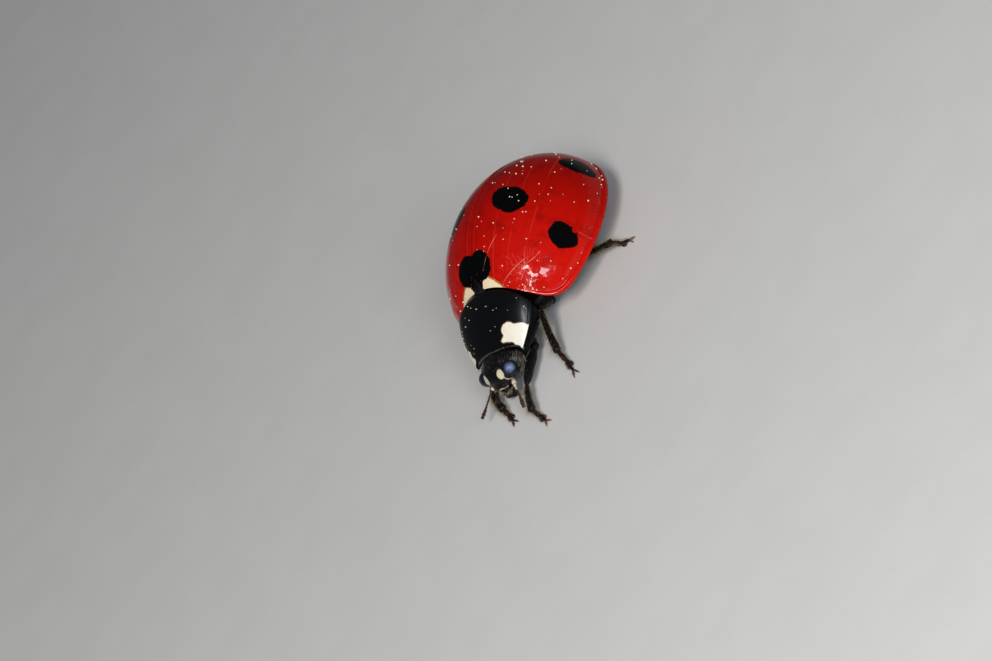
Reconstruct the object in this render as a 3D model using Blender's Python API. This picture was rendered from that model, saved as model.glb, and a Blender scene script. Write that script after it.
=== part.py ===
"""Seven-spot ladybird, a still life-size model standing on its six feet.

Pieces are shaped in millimetres in the animal's own frame: +X is its left, -Y is
its front, +Z is up, y = 0 is the middle of the wing cases' base and z = 0 is the
plane of their rim. The finished model is in metres, with its soles at z = 0 and
the middle of its bounding box over the origin.
"""
import math

import bmesh
import bpy
from mathutils import Matrix, Vector

# Driving dimensions, in millimetres, drawn for an animal 8.4 mm long, and the
# scale that brings them to this one's 7.8 mm.
MM = 0.001
BODY_SCALE = 0.93
RIM_HEIGHT = 0.80
CUT = 0.04
WELD = 0.0005
SHELL = 0.52
SHARP_EDGE = math.radians(40)

# The wing cases' dome: half of its width, its lengths ahead of and behind its top.
DOME_WIDTH = 2.92
DOME_BACK = 3.26
DOME_FRONT = 3.44
DOME_HEIGHT = 2.59
DOME_APEX_Y = 2.70
DOME_POWER = 1.95
DOME_SQUARENESS = 2.16
BASE_BOW = 0.086
SHOULDER_SHARPNESS = 16
SCUTELLUM_HALF_WIDTH = 0.24
SCUTELLUM_LENGTH = 0.36
SCUTELLUM_DEPTH = 0.27
SCUTELLUM_RISE = 0.01
RIM_LIP = 0.05
ELYTRON_COLUMNS = 21
ELYTRON_ROWS = 12

# The pronotum, from its hind margin to its front one, and the slanted neck plane.
PRONOTUM_HIND = {"half_width": 1.58, "crest": 1.53, "margin": 0.72}
PRONOTUM_FRONT = {"half_width": 1.03, "crest": 0.50, "margin": 0.15}
PRONOTUM_TAPER = 1.8
PRONOTUM_BULGE = 0.10
PRONOTUM_THICKNESS = 0.40
PRONOTUM_EDGE = 0.10
PRONOTUM_TURN = 0.10
PRONOTUM_TUCK = 0.96
PRONOTUM_ROWS = 10
PRONOTUM_COLUMNS = 16
NECK_Y = -1.52
NECK_Z = 0.50
NECK_SLOPE = 0.09

# The body below: its lowest level, the narrowing under the pronotum, and where it is parted.
BELLY = -0.27
STERNUM_TUCK = 0.90
STERNUM_FRONT = -0.02
STERNUM_MIDDLE = 1.25
STERNUM_BACK = 2.75
TRUNK_COLUMNS = 24
TRUNK_ROWS = 8

# The head and what it carries.
HEAD_CENTRE = Vector((0.0, -1.80, -0.05))
HEAD_SIZE = Vector((0.68, 0.64, 0.52))
HEAD_UNDERSIDE = 0.76
EYE_CENTRE = Vector((0.51, -2.08, 0.06))
EYE_SIZE = Vector((0.24, 0.25, 0.25))
LABRUM_CENTRE = Vector((0.0, -2.38, -0.34))
LABRUM_SIZE = Vector((0.20, 0.13, 0.09))
MANDIBLE_CENTRE = Vector((0.11, -2.25, -0.50))
MANDIBLE_SIZE = Vector((0.09, 0.15, 0.06))
FEELER_RADII = (0.15, 0.18, 0.20)
LEFT_FEELER = ((0.46, -2.30, -0.01), (0.78, -2.78, -0.05), (1.10, -3.26, -0.08))
RIGHT_FEELER = ((-0.46, -2.30, -0.02), (-0.58, -2.78, -0.08), (-0.66, -3.24, -0.20))
PALP_RADII = (0.10, 0.11, 0.13)
PALP = ((0.28, -2.10, -0.28), (0.31, -2.32, -0.29), (0.28, -2.47, -0.29))

# Each leg: end of the coxa, knee, ankle and toe.
LEGS = {
    "front_left": ((0.74, -0.98, -0.42), (0.88, -2.52, -0.46), (1.47, -3.66, -0.52), (2.08, -4.18, -0.60)),
    "front_right": ((-0.58, -0.98, -0.42), (-0.95, -2.03, -0.50), (-0.16, -2.94, -0.58), (0.38, -3.52, -0.60)),
    "middle_left": ((0.90, 0.72, -0.42), (1.36, -0.05, 0.04), (1.91, -1.62, -0.50), (2.73, -2.57, -0.60)),
    "middle_right": ((-0.90, 0.80, -0.42), (-2.05, 0.85, -0.34), (-2.95, 1.15, -0.52), (-3.62, 1.80, -0.60)),
    "hind_left": ((0.72, 2.38, -0.42), (2.05, 2.00, -0.36), (3.02, 2.06, -0.52), (3.84, 2.12, -0.60)),
    "hind_right": ((-0.72, 2.44, -0.42), (-1.95, 3.20, -0.36), (-2.80, 4.05, -0.52), (-3.40, 4.85, -0.60)),
}
COXA_ROOTS = {"front": (0.34, -0.60, -0.22), "middle": (0.45, 1.10, -0.22), "hind": (0.25, 2.52, -0.22)}
COXA_RADII = (0.21, 0.27, 0.24)
FEMUR_RADII = (0.24, 0.27, 0.22)
TIBIA_RADII = (0.20, 0.21, 0.20)
TARSUS_RADII = (0.18, 0.22, 0.24, 0.17, 0.13)
LEG_SIDES = 8
ROUNDING = (math.radians(34), math.radians(67))


def material(name, colour, roughness):
    """A plain surface finish."""
    finish = bpy.data.materials.new(name)
    finish.use_nodes = True
    shader = finish.node_tree.nodes["Principled BSDF"]
    shader.inputs["Base Color"].default_value = (*colour, 1.0)
    shader.inputs["Roughness"].default_value = roughness
    shader.inputs["Metallic"].default_value = 0.0
    return finish


def face_outwards(bm):
    """Clear away doubled points and turn a closed body's faces outwards."""
    bmesh.ops.remove_doubles(bm, verts=bm.verts, dist=WELD)
    bmesh.ops.dissolve_degenerate(bm, edges=bm.edges, dist=WELD)
    bmesh.ops.recalc_face_normals(bm, faces=bm.faces)
    if bm.calc_volume(signed=True) < 0.0:
        bmesh.ops.reverse_faces(bm, faces=bm.faces)


def make_object(name, bm, finish):
    """Finish a bmesh as a smooth-shaded object."""
    face_outwards(bm)
    mesh = bpy.data.meshes.new(name)
    bm.to_mesh(mesh)
    bm.free()
    mesh.materials.append(finish)
    mesh.shade_smooth()
    mesh.set_sharp_from_angle(angle=SHARP_EDGE)
    piece = bpy.data.objects.new(name, mesh)
    bpy.context.scene.collection.objects.link(piece)
    return piece


def slab(name, upper, lower, finish):
    """A closed body between two equal grids of points, walled round their edges."""
    bm = bmesh.new()
    rows, columns = len(upper), len(upper[0])
    grids = [[[bm.verts.new(p) for p in row] for row in grid] for grid in (upper, lower)]
    for grid in grids:
        for i in range(rows - 1):
            for j in range(columns - 1):
                bm.faces.new((grid[i][j], grid[i + 1][j], grid[i + 1][j + 1], grid[i][j + 1]))
    edge = [(i, 0) for i in range(rows)]
    edge += [(rows - 1, j) for j in range(1, columns)]
    edge += [(i, columns - 1) for i in range(rows - 2, -1, -1)]
    edge += [(0, j) for j in range(columns - 2, 0, -1)]
    for k, (i, j) in enumerate(edge):
        m, n = edge[(k + 1) % len(edge)]
        bm.faces.new((grids[0][i][j], grids[0][m][n], grids[1][m][n], grids[1][i][j]))
    return make_object(name, bm, finish)


def ellipsoid(name, centre, size, finish, segments=20, rings=12, swell=0.0):
    """A ball stretched to three half-sizes."""
    bm = bmesh.new()
    bmesh.ops.create_uvsphere(bm, u_segments=segments, v_segments=rings, radius=1.0)
    for v in bm.verts:
        v.co = Vector(v.co[k] * (size[k] + swell) + centre[k] for k in range(3))
    return make_object(name, bm, finish)


def stations(points, radii):
    """The centre, direction and radius of each ring of a limb, its two ends rounded off."""
    chain = []
    for k, centre in enumerate(points):
        before = points[k] - points[max(k - 1, 0)]
        after = points[min(k + 1, len(points) - 1)] - points[k]
        chain.append((centre, (before + after).normalized(), radii[k]))
    first = (points[1] - points[0]).normalized()
    last = (points[-1] - points[-2]).normalized()
    for tilt in ROUNDING:
        out, shrink = math.sin(tilt), math.cos(tilt)
        chain.insert(0, (points[0] - first * radii[0] * out, first, radii[0] * shrink))
        chain.append((points[-1] + last * radii[-1] * out, last, radii[-1] * shrink))
    return chain


def limb(name, points, radii, finish, flat=1.0, swell=0.0):
    """A round-ended limb: rings of changing radius along a chain of points."""
    bm = bmesh.new()
    turns = [2.0 * math.pi * (k + 0.5) / LEG_SIDES for k in range(LEG_SIDES)]
    rings = []
    for centre, along, radius in stations([Vector(p) for p in points], radii):
        across = along.cross(Vector((0.0, 0.0, 1.0))).normalized()
        over = across.cross(along)
        wide, high = radius + swell, radius * flat + swell
        ring = [centre + across * math.cos(t) * wide + over * math.sin(t) * high for t in turns]
        rings.append([bm.verts.new(p) for p in ring])
    for low, high in zip(rings, rings[1:]):
        for k in range(LEG_SIDES):
            n = (k + 1) % LEG_SIDES
            bm.faces.new((low[k], low[n], high[n], high[k]))
    for ring in (rings[0], rings[-1]):
        bm.faces.new(ring)
    return make_object(name, bm, finish)


def keep_side(piece, point, normal):
    """Cut a piece by a plane and keep the part that the normal points into."""
    bm = bmesh.new()
    bm.from_mesh(piece.data)
    parts = list(bm.verts) + list(bm.edges) + list(bm.faces)
    bmesh.ops.bisect_plane(bm, geom=parts, dist=WELD, plane_co=Vector(point), plane_no=Vector(normal),
                           clear_inner=True)
    bmesh.ops.holes_fill(bm, edges=[e for e in bm.edges if e.is_boundary], sides=0)
    face_outwards(bm)
    bm.to_mesh(piece.data)
    bm.free()
    return piece


def carve(piece, cutters):
    """Take the cutters' shapes out of a piece, then remove the cutters."""
    for cutter in cutters:
        cutter.hide_render = True
        cutter.display_type = "WIRE"
        hollow = piece.modifiers.new("hollow", "BOOLEAN")
        hollow.operation = "DIFFERENCE"
        hollow.solver = "EXACT"
        hollow.object = cutter
    bpy.context.view_layer.update()
    carved = bpy.data.meshes.new_from_object(piece.evaluated_get(bpy.context.evaluated_depsgraph_get()))
    piece.modifiers.clear()
    piece.data = carved
    for cutter in cutters:
        bpy.data.objects.remove(cutter)
    return piece


def base_line(x):
    """How far back the wing cases' front margin lies at a distance x from the middle."""
    notch = max(0.0, 1.0 - abs(x) / SCUTELLUM_HALF_WIDTH) * SCUTELLUM_LENGTH
    return notch - BASE_BOW * x * x


def squared(angle):
    """How far the dome's outline stands out at an angle: its front half is a little square."""
    if math.cos(angle) <= 0.0:
        return 1.0
    total = abs(math.sin(angle)) ** DOME_SQUARENESS + math.cos(angle) ** DOME_SQUARENESS
    return total ** (-1.0 / DOME_SQUARENESS)


def reach_of(angle):
    """How much of the dome's radius the wing case covers at an angle from straight ahead."""
    ahead = math.cos(angle) * squared(angle)
    if ahead <= 0.05:
        return 1.0
    reach = 0.8
    for _ in range(30):
        x = DOME_WIDTH * squared(angle) * math.sin(angle) * reach
        reach = (DOME_APEX_Y - base_line(x)) / (DOME_FRONT * ahead)
    power = -SHOULDER_SHARPNESS
    return (reach ** power + 1.0) ** (1.0 / power)


def dome_point(angle, reach, inset, side, gap=0.0):
    """A point of the dome, or of one set in from it by a wall's thickness."""
    length = (DOME_FRONT if math.cos(angle) > 0.0 else DOME_BACK) - inset
    out = reach * squared(angle)
    fall = max(0.0, 1.0 - min(reach, 1.0) ** DOME_POWER) ** (1.0 / DOME_POWER)
    x = side * (gap + (DOME_WIDTH - inset) * math.sin(angle) * out)
    return Vector((x, DOME_APEX_Y - length * math.cos(angle) * out, (DOME_HEIGHT - inset) * fall))


def elytron(name, side, finish):
    """One wing case: half of the dome, notched for the scutellum, with a thin lip at its rim."""
    notch = math.atan2(SCUTELLUM_HALF_WIDTH, DOME_APEX_Y) * DOME_FRONT / DOME_WIDTH
    columns = range(ELYTRON_COLUMNS + 1)
    angles = [0.0] + [notch + (math.pi - notch) * k / ELYTRON_COLUMNS for k in columns]
    grids = []
    for inset in (0.0, SHELL):
        grid = []
        for angle in angles:
            limit = reach_of(angle)
            widest = math.asin(min(limit, 1.0))
            turns = [widest * k / ELYTRON_ROWS for k in range(ELYTRON_ROWS + 1)]
            row = [dome_point(angle, math.sin(t), inset, side, CUT / 2) for t in turns]
            if inset == 0.0:
                away = Vector((side * math.sin(angle), -math.cos(angle), 0.0))
                row[-1] = row[-1] + away * RIM_LIP * max(0.0, 1.0 - 20.0 * (1.0 - limit))
            grid.append(row)
        grids.append(grid)
    return slab(name, grids[0], grids[1], finish)


def scutellum(finish):
    """The small three-cornered plate between the wing cases' bases."""
    inner = SCUTELLUM_HALF_WIDTH - 1.6 * CUT
    tip = SCUTELLUM_LENGTH - 2.0 * CUT
    corners = ((-inner, 0.0), (inner, 0.0), (0.0, tip))
    bm = bmesh.new()
    layers = []
    for drop in (-SCUTELLUM_RISE, SCUTELLUM_DEPTH - SCUTELLUM_RISE):
        layer = []
        for x, y in corners:
            reach = (DOME_APEX_Y - y) / DOME_FRONT
            z = DOME_HEIGHT * (1.0 - reach ** DOME_POWER) ** (1.0 / DOME_POWER) - drop
            layer.append(bm.verts.new((x, y, z)))
        layers.append(layer)
    bm.faces.new(layers[0])
    bm.faces.new(layers[1])
    for k in range(3):
        n = (k + 1) % 3
        bm.faces.new((layers[0][k], layers[0][n], layers[1][n], layers[1][k]))
    return make_object("scutellum", bm, finish)


def pronotum_point(across, forward):
    """The pronotum's outer surface: across runs from -1 to 1, forward from 0 to 1."""
    lean = math.pi / 2 * across
    ends = {key: (PRONOTUM_HIND[key], PRONOTUM_FRONT[key]) for key in PRONOTUM_HIND}
    hind_width, front_width = ends["half_width"]
    width = hind_width - (hind_width - front_width) * forward ** PRONOTUM_TAPER
    crest = ends["crest"][0] * (1 - forward) + ends["crest"][1] * forward
    crest += PRONOTUM_BULGE * math.sin(math.pi * forward)
    margin = ends["margin"][0] * (1 - forward) + ends["margin"][1] * forward
    x = width * math.sin(lean)
    z = margin + (crest - margin) * max(0.0, math.cos(lean)) ** 1.1
    hind = base_line(max(abs(x), SCUTELLUM_HALF_WIDTH)) - CUT - PRONOTUM_TURN * max(x, 0.0) ** 2 / hind_width
    return Vector((x, hind * (1.0 - forward) + neck_y(z) * forward, z))


def neck_y(z):
    """Where the neck plane lies at a height, seen from the pronotum's side of the cut."""
    return NECK_Y + (NECK_Z - z) * NECK_SLOPE + CUT / 2


def pronotum_grid(depth, edge, shrink):
    """The pronotum's points lowered by a depth, or by less at its side margins, and narrowed."""
    grid = []
    for i in range(PRONOTUM_ROWS + 1):
        row = []
        forward = i / PRONOTUM_ROWS
        for j in range(PRONOTUM_COLUMNS + 1):
            across = 2.0 * j / PRONOTUM_COLUMNS - 1.0
            p = pronotum_point(across, forward)
            drop = edge + (depth - edge) * max(0.0, math.cos(math.pi / 2 * across)) ** 0.6
            row.append(Vector((p.x * shrink, p.y + drop * NECK_SLOPE * forward, p.z - drop)))
        grid.append(row)
    return grid


def pronotum(finish):
    """The shield over the front of the body."""
    upper = pronotum_grid(0.0, 0.0, 1.0)
    lower = pronotum_grid(PRONOTUM_THICKNESS, PRONOTUM_EDGE, PRONOTUM_TUCK)
    return slab("pronotum", upper, lower, finish)


def prosternum(finish):
    """The underside of the front of the body, filling the shield from below."""
    upper = pronotum_grid(PRONOTUM_THICKNESS + CUT, PRONOTUM_EDGE + 2.0 * CUT, STERNUM_TUCK)
    lower = []
    for row in upper:
        line = []
        for j, p in enumerate(row):
            outward = abs(2.0 * j / (len(row) - 1) - 1.0) ** 5
            line.append(Vector((p.x, p.y, BELLY * (1.0 - outward) + (row[0].z - CUT) * outward)))
        lower.append(line)
    return slab("prosternum", upper, lower, finish)


def trunk_section(name, front, back, finish):
    """A length of the body under the wing cases, parted from the next by a thin cut."""
    inset = SHELL + CUT
    upper, lower = [], []
    for i in range(TRUNK_COLUMNS + 1):
        angle = 2.0 * math.pi * i / TRUNK_COLUMNS
        top_row, low_row = [], []
        for j in range(TRUNK_ROWS + 1):
            reach = math.sin(math.pi / 2 * j / TRUNK_ROWS)
            p = dome_point(angle, reach, inset, 1)
            top_row.append(p)
            low_row.append(Vector((p.x, p.y, BELLY * (1.0 - reach ** 4) - CUT)))
        upper.append(top_row)
        lower.append(low_row)
    bm = bmesh.new()
    for grid in (upper, lower):
        verts = [[bm.verts.new(p) for p in row] for row in grid]
        for i in range(TRUNK_COLUMNS):
            for j in range(TRUNK_ROWS):
                bm.faces.new((verts[i][j], verts[i + 1][j], verts[i + 1][j + 1], verts[i][j + 1]))
    bmesh.ops.remove_doubles(bm, verts=bm.verts, dist=WELD)
    rims = [e for e in bm.edges if e.is_boundary]
    bmesh.ops.bridge_loops(bm, edges=rims)
    piece = make_object(name, bm, finish)
    keep_side(piece, (0.0, front + CUT / 2, 0.0), (0.0, 1.0, 0.0))
    if back is not None:
        keep_side(piece, (0.0, back - CUT / 2, 0.0), (0.0, -1.0, 0.0))
    return piece


def neck_cut(piece, ahead):
    """Cut a piece along the slanted plane between head and pronotum."""
    normal = Vector((0.0, -1.0, -NECK_SLOPE)).normalized()
    point = Vector((0.0, NECK_Y, NECK_Z)) + normal * CUT / 2
    return keep_side(piece, point, normal if ahead else -normal)


def head_capsule(finish):
    """The head: a ball with a flatter underside, cut at the neck."""
    head = ellipsoid("head", Vector((0.0, 0.0, 0.0)), HEAD_SIZE, finish, 24, 14)
    for v in head.data.vertices:
        if v.co.z < 0.0:
            v.co.z *= HEAD_UNDERSIDE
        v.co += HEAD_CENTRE
    return neck_cut(head, ahead=True)


def mirrored(points, side):
    """The same points on the animal's left or right side."""
    return tuple((side * x, y, z) for x, y, z in points)


def head_parts(finishes, swell=0.0):
    """What the head carries, at its own size or swollen to make room for it."""
    black, glossy, brown = finishes
    parts = {"labrum": ellipsoid("labrum", LABRUM_CENTRE, LABRUM_SIZE, black, 14, 8, swell)}
    for side, word, feeler in ((1, "left", LEFT_FEELER), (-1, "right", RIGHT_FEELER)):
        eye = (side * EYE_CENTRE.x, EYE_CENTRE.y, EYE_CENTRE.z)
        jaw = (side * MANDIBLE_CENTRE.x, MANDIBLE_CENTRE.y, MANDIBLE_CENTRE.z)
        name = "eye_" + word
        parts[name] = ellipsoid(name, eye, EYE_SIZE, glossy, 16, 10, swell)
        name = "antenna_" + word
        parts[name] = limb(name, feeler, FEELER_RADII, brown, swell=swell)
        name = "maxillary_palp_" + word
        parts[name] = limb(name, mirrored(PALP, side), PALP_RADII, brown, swell=swell)
        name = "mandible_" + word
        parts[name] = ellipsoid(name, jaw, MANDIBLE_SIZE, brown, 10, 6, swell)
    return parts


def head_pieces(finishes):
    """The head capsule with its eyes, feelers, lip, jaws and mouth feelers in their sockets."""
    head = head_capsule(finishes[0])
    parts = head_parts(finishes)
    for word in ("left", "right"):
        room = head_parts(finishes, CUT)
        eye = room.pop("eye_" + word)
        for spare in room.values():
            bpy.data.objects.remove(spare)
        carve(parts["antenna_" + word], [eye])
    return carve(head, list(head_parts(finishes, CUT).values()))


def leg_segments(name, marks, root, finish, swell=0.0):
    """The coxa, femur and tibia of a leg as whole round-ended limbs."""
    hip, knee, ankle, _ = (Vector(p) for p in marks)
    root = Vector(root)
    chains = (
        ("coxa_", (root, root.lerp(hip, 0.5), hip), COXA_RADII, 0.95),
        ("femur_", (hip, hip.lerp(knee, 0.45), knee), FEMUR_RADII, 0.90),
        ("tibia_", (knee, knee.lerp(ankle, 0.6), ankle), TIBIA_RADII, 1.00),
    )
    return [limb(word + name, points, radii, finish, flat, swell) for word, points, radii, flat in chains]


def leg(name, marks, root, finishes):
    """One leg of four pieces, parted across each joint by a thin cut, its sole flat on the floor."""
    hip, knee, ankle, toe = (Vector(p) for p in marks)
    instep = ankle.lerp(toe, 0.45)
    instep.z = toe.z
    foot = (ankle, ankle.lerp(instep, 0.6), instep, instep.lerp(toe, 0.5), toe)
    pieces = leg_segments(name, marks, root, finishes[0])
    pieces.append(limb("tarsus_" + name, foot, TARSUS_RADII, finishes[1], 0.95))
    chain = [Vector(root), hip, knee, ankle, instep]
    for k in range(3):
        joint = chain[k + 1]
        before = (joint - chain[k]).normalized()
        after = (chain[k + 2] - joint).normalized()
        mitre = (before + after).normalized()
        keep_side(pieces[k], joint - mitre * CUT / 2, -mitre)
        keep_side(pieces[k + 1], joint + mitre * CUT / 2, mitre)
    keep_side(pieces[3], (0.0, 0.0, -RIM_HEIGHT), (0.0, 0.0, 1.0))
    return pieces


def clear_scene():
    """Remove whatever the opened scene holds."""
    for item in list(bpy.data.objects):
        bpy.data.objects.remove(item)


def stand():
    """Turn millimetres to metres, with the soles at z = 0 and the box's middle over the origin."""
    pieces = [p for p in bpy.context.scene.objects if p.type == "MESH"]
    corners = [v.co for p in pieces for v in p.data.vertices]
    middle_x = (min(c.x for c in corners) + max(c.x for c in corners)) / 2
    middle_y = (min(c.y for c in corners) + max(c.y for c in corners)) / 2
    place = Matrix.Scale(MM * BODY_SCALE, 4) @ Matrix.Translation((-middle_x, -middle_y, RIM_HEIGHT))
    for piece in pieces:
        piece.data.transform(place)


def main():
    clear_scene()
    red = material("elytra_red", (0.55, 0.010, 0.004), 0.18)
    black = material("cuticle_black", (0.008, 0.008, 0.009), 0.25)
    shield = material("pronotum_black", (0.006, 0.006, 0.007), 0.2)
    belly = material("sternum_black", (0.012, 0.011, 0.011), 0.4)
    eye = material("eye_black", (0.01, 0.011, 0.016), 0.15)
    brown = material("feeler_brown", (0.16, 0.045, 0.015), 0.4)
    limbs = material("leg_black", (0.014, 0.012, 0.011), 0.35)

    elytron("elytron_left", 1, red)
    elytron("elytron_right", -1, red)
    scutellum(black)
    pronotum(shield)
    head_pieces((black, eye, brown))
    bodies = [prosternum(belly)]
    bodies.append(trunk_section("mesosternum", STERNUM_FRONT, STERNUM_MIDDLE, belly))
    bodies.append(trunk_section("metasternum", STERNUM_MIDDLE, STERNUM_BACK, belly))
    bodies.append(trunk_section("abdomen", STERNUM_BACK, None, belly))
    cutters = {"front": [bodies[0]], "middle": bodies[1:3], "hind": bodies[1:4]}
    for name, marks in LEGS.items():
        pair, side = name.split("_")
        x, y, z = COXA_ROOTS[pair]
        root = (x if side == "left" else -x, y, z)
        leg(name, marks, root, (limbs, brown))
        for body in cutters[pair]:
            carve(body, leg_segments("room", marks, root, limbs, CUT))
    stand()


main()
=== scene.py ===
"""Seven-spot ladybird, a life-size model of one walking insect for a display case.

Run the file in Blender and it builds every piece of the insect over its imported
solids, then the floor, the lamps and the camera. The sidebar panel "Ladybird"
lists the same steps as buttons.

Shapes are worked out in drawing units, in the animal's own frame: +X is its left,
-Y its front, y = 0 the middle of the wing cases' base and z = 0 the plane of their
rim. place() turns them into metres with lengths read from the solids.
"""

from functools import reduce
from math import atan2, cos, pi, radians, sin

import bmesh
import bpy
import numpy as np
from bpy.props import FloatProperty, FloatVectorProperty, IntProperty, PointerProperty
from bpy.types import Operator, Panel, PropertyGroup
from mathutils import Matrix, Vector


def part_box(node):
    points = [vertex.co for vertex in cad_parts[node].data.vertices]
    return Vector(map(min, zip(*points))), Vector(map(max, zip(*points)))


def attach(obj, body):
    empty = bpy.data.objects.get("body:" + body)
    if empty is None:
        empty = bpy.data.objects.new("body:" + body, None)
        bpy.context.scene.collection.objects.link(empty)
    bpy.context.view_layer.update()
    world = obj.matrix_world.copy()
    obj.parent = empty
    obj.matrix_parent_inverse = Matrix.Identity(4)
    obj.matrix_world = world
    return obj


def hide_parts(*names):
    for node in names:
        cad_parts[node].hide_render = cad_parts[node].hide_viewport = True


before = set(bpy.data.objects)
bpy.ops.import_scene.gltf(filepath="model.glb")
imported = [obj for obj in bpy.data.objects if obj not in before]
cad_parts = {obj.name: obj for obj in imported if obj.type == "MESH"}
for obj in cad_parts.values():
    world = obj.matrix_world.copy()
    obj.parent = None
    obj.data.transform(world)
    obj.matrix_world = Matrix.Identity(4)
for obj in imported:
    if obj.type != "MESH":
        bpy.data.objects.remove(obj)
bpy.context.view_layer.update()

bl_info = {
    "name": "Ladybird",
    "version": (1, 0, 0),
    "blender": (4, 5, 0),
    "location": "View3D > Sidebar > Ladybird",
    "description": "Builds a seven-spot ladybird piece by piece",
    "category": "Add Mesh",
}


def vec(*numbers):
    """A point, direction or row of numbers as an array."""
    return np.array(numbers, float)


SIDES = (("left", 1), ("right", -1))

# The wing cases' dome in drawing units: its half-sizes, the powers that shape it, the shoulder, the
# thickness, the gap and lip of its edges, and the scutellum between them.
DOME_WIDTH = 2.92
DOME_BACK = 3.26
DOME_FRONT = 3.44
DOME_HEIGHT = 2.59
DOME_APEX_Y = 2.70
DOME_POWER = 1.95
DOME_SQUARENESS = 2.16
BASE_BOW = 0.086
SHOULDER_SHARPNESS = 16
SHELL = 0.50
SEAM = 0.02
SEAM_SHIFT = 0.006
RIM_LIP = 0.05
SCUTELLUM_HALF_WIDTH = 0.24
SCUTELLUM_LENGTH = 0.36

# The pronotum's half-width, crest height and margin height at its hind and front edges; the front line.
PRONOTUM_HIND = (1.58, 1.53, 0.72)
PRONOTUM_FRONT = (1.03, 0.50, 0.15)
NECK_Y = -1.52
NECK_Z = 0.50
NECK_SLOPE = 0.09

# The underside: its lowest level, its inset from the rim, its hidden top, its cross grooves and plates' ends.
BELLY = -0.31
BELLY_INSET = 0.47
BELLY_TOP = 0.34
BELLY_GROOVES = (3.02, 3.52, 3.96, 4.36, 4.74)
BELLY_PLATES = {
    "mesosternum": (-0.21, 1.24),
    "metasternum": (1.255, 2.74),
    "abdomen": (2.755, DOME_APEX_Y + DOME_BACK - BELLY_INSET - 0.002),
}

# The pale side plate: its middle and half-sizes, aside and back.
SIDE_PLATE = ((1.75, 0.32), (0.62, 0.30))

# The level of the soles.
FLOOR = -0.80

# The head's middle and half-sizes; the left eye's, the direction its painted sheen faces and each eye's
# painted sheen strength. The painted sheen is a pale blue reflection painted into the eyes' colour.
HEAD_CENTRE = vec(0, -1.80, -0.05)
HEAD_SIZE = vec(0.67, 0.63, 0.52)
EYE_CENTRE = vec(0.52, -2.08, 0.06)
EYE_SIZE = vec(0.245, 0.24, 0.24)
EYE_SHEEN_FACING = (0.66, -0.56, 0.50)
EYE_PAINTED_SHEEN = {"left": 1, "right": 0.3}

# The head's cream marks: a spot's middle and half-sizes, the line under the eye and the clypeus's edge.
FACE_SPOT, FACE_SPOT_SIZE = vec(0.325, -2.27, 0.155), vec(0.11, 0.5, 0.13)
FACE_LINE = ((0.35, -2.33, 0.08), (0.341, -2.358, -0.004), (0.391, -2.334, -0.112), (0.447, -2.244, -0.193))
FACE_EDGE = ((0, -2.505, -0.205), (0.235, -2.43, -0.262))

# Spots of the left wing case: middle, half-length, half-width and turn in degrees.
SPOTS = (
    ((1.246, 2.567, 2.299), 0.690, 0.470, -25.5),
    ((2.555, 1.560, 0.919), 0.480, 0.400, -17.2),
    ((2.184, 4.449, 0.917), 0.610, 0.440, -16.8),
)
# A small red bite out of the side spot's rim.
SPOT_BITE = vec(2.735, 1.83, 0.70)
BITE_RADIUS = 0.085

# Places on the left wing case: the knob of its shoulder and the dented skin round it, the crease in front of
# them, the worn patch and the polished one; and its veins' places across, with their widths.
KNOB = (1.93, 0.42, 1)
DENTED = (1.70, 0.50, 1.2)
CREASE = ((1.95, 0.57, 1.16), (1.71, 0.08, 0.86))
WORN = (1.58, 0.34, 1.25)
POLISHED = (1.75, 0.75, 1.25)
VEINS = ((0.345, 0.006), (0.535, 0.004), (0.715, 0.006))

# Long scratches on the left wing case: both ends, and how far the line bows aside.
SCRATCHES = (
    (vec(1.03, 1.35, 2.20), vec(0.39, 0.41, 1.88), 0.05),
    (vec(2.13, 0.94, 1.24), vec(1.49, 0.38, 1.43), -0.06),
    (vec(2.76, 1.87, 0.61), vec(2.86, 1.89, 0.10), 0.03),
    (vec(1.76, 0.66, 1.43), vec(0.94, 0.04, 1.43), 0.04),
)
# Distances that stand for "no line or spot here" and "no pale patch here".
FAR = 9
NO_PATCH = 5

# Outline of the cream patch beside the scutellum: distance aside and distance behind the base line.
BASE_PATCH = [(0.12, -0.15), (0.20, 0.02), (0.30, 0.20), (0.46, 0.27), (0.70, 0.15), (0.92, 0),
              (0.90, -0.15)]

# Outline of the pronotum's left cream corner, in shares across and forward; its scale; the right one's shift.
SHIELD_MARK = (
    (0.355, 0.665), (0.42, 0.632), (0.50, 0.625), (0.60, 0.648), (0.71, 0.612), (0.877, 0.575), (1.1, 0.56),
    (1.25, 0.8), (1.1, 1.1), (0.80, 1.08), (0.66, 1.02), (0.54, 0.965), (0.40, 0.953), (0.29, 0.945),
    (0.275, 0.90), (0.33, 0.845), (0.305, 0.78), (0.31, 0.72),
)
SHIELD_MARK_SCALE = (1.75, 1.35)
SHIELD_MARK_SHIFT = 0.38

# Each leg: end of the coxa, knee, ankle and toe; and where the left coxae start.
LEGS = {
    "front_left": ((0.74, -0.98, -0.42), (0.88, -2.52, -0.46), (1.47, -3.66, -0.52), (2.08, -4.18, -0.60)),
    "front_right": ((-0.58, -0.98, -0.42), (-0.95, -2.03, -0.5), (-0.16, -2.94, -0.58), (0.38, -3.52, -0.6)),
    "middle_left": ((0.90, 0.72, -0.42), (1.18, -0.06, 0.08), (1.91, -1.62, -0.50), (2.73, -2.57, -0.60)),
    "middle_right": ((-0.90, 0.80, -0.42), (-2.05, 0.85, -0.34), (-2.95, 1.15, -0.52), (-3.62, 1.80, -0.60)),
    "hind_left": ((0.72, 2.38, -0.42), (2.05, 2.00, -0.36), (3.02, 2.14, -0.50), (3.64, 2.12, -0.60)),
    "hind_right": ((-0.72, 2.44, -0.42), (-1.95, 3.20, -0.36), (-2.80, 4.05, -0.52), (-3.40, 4.85, -0.60)),
}
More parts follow.
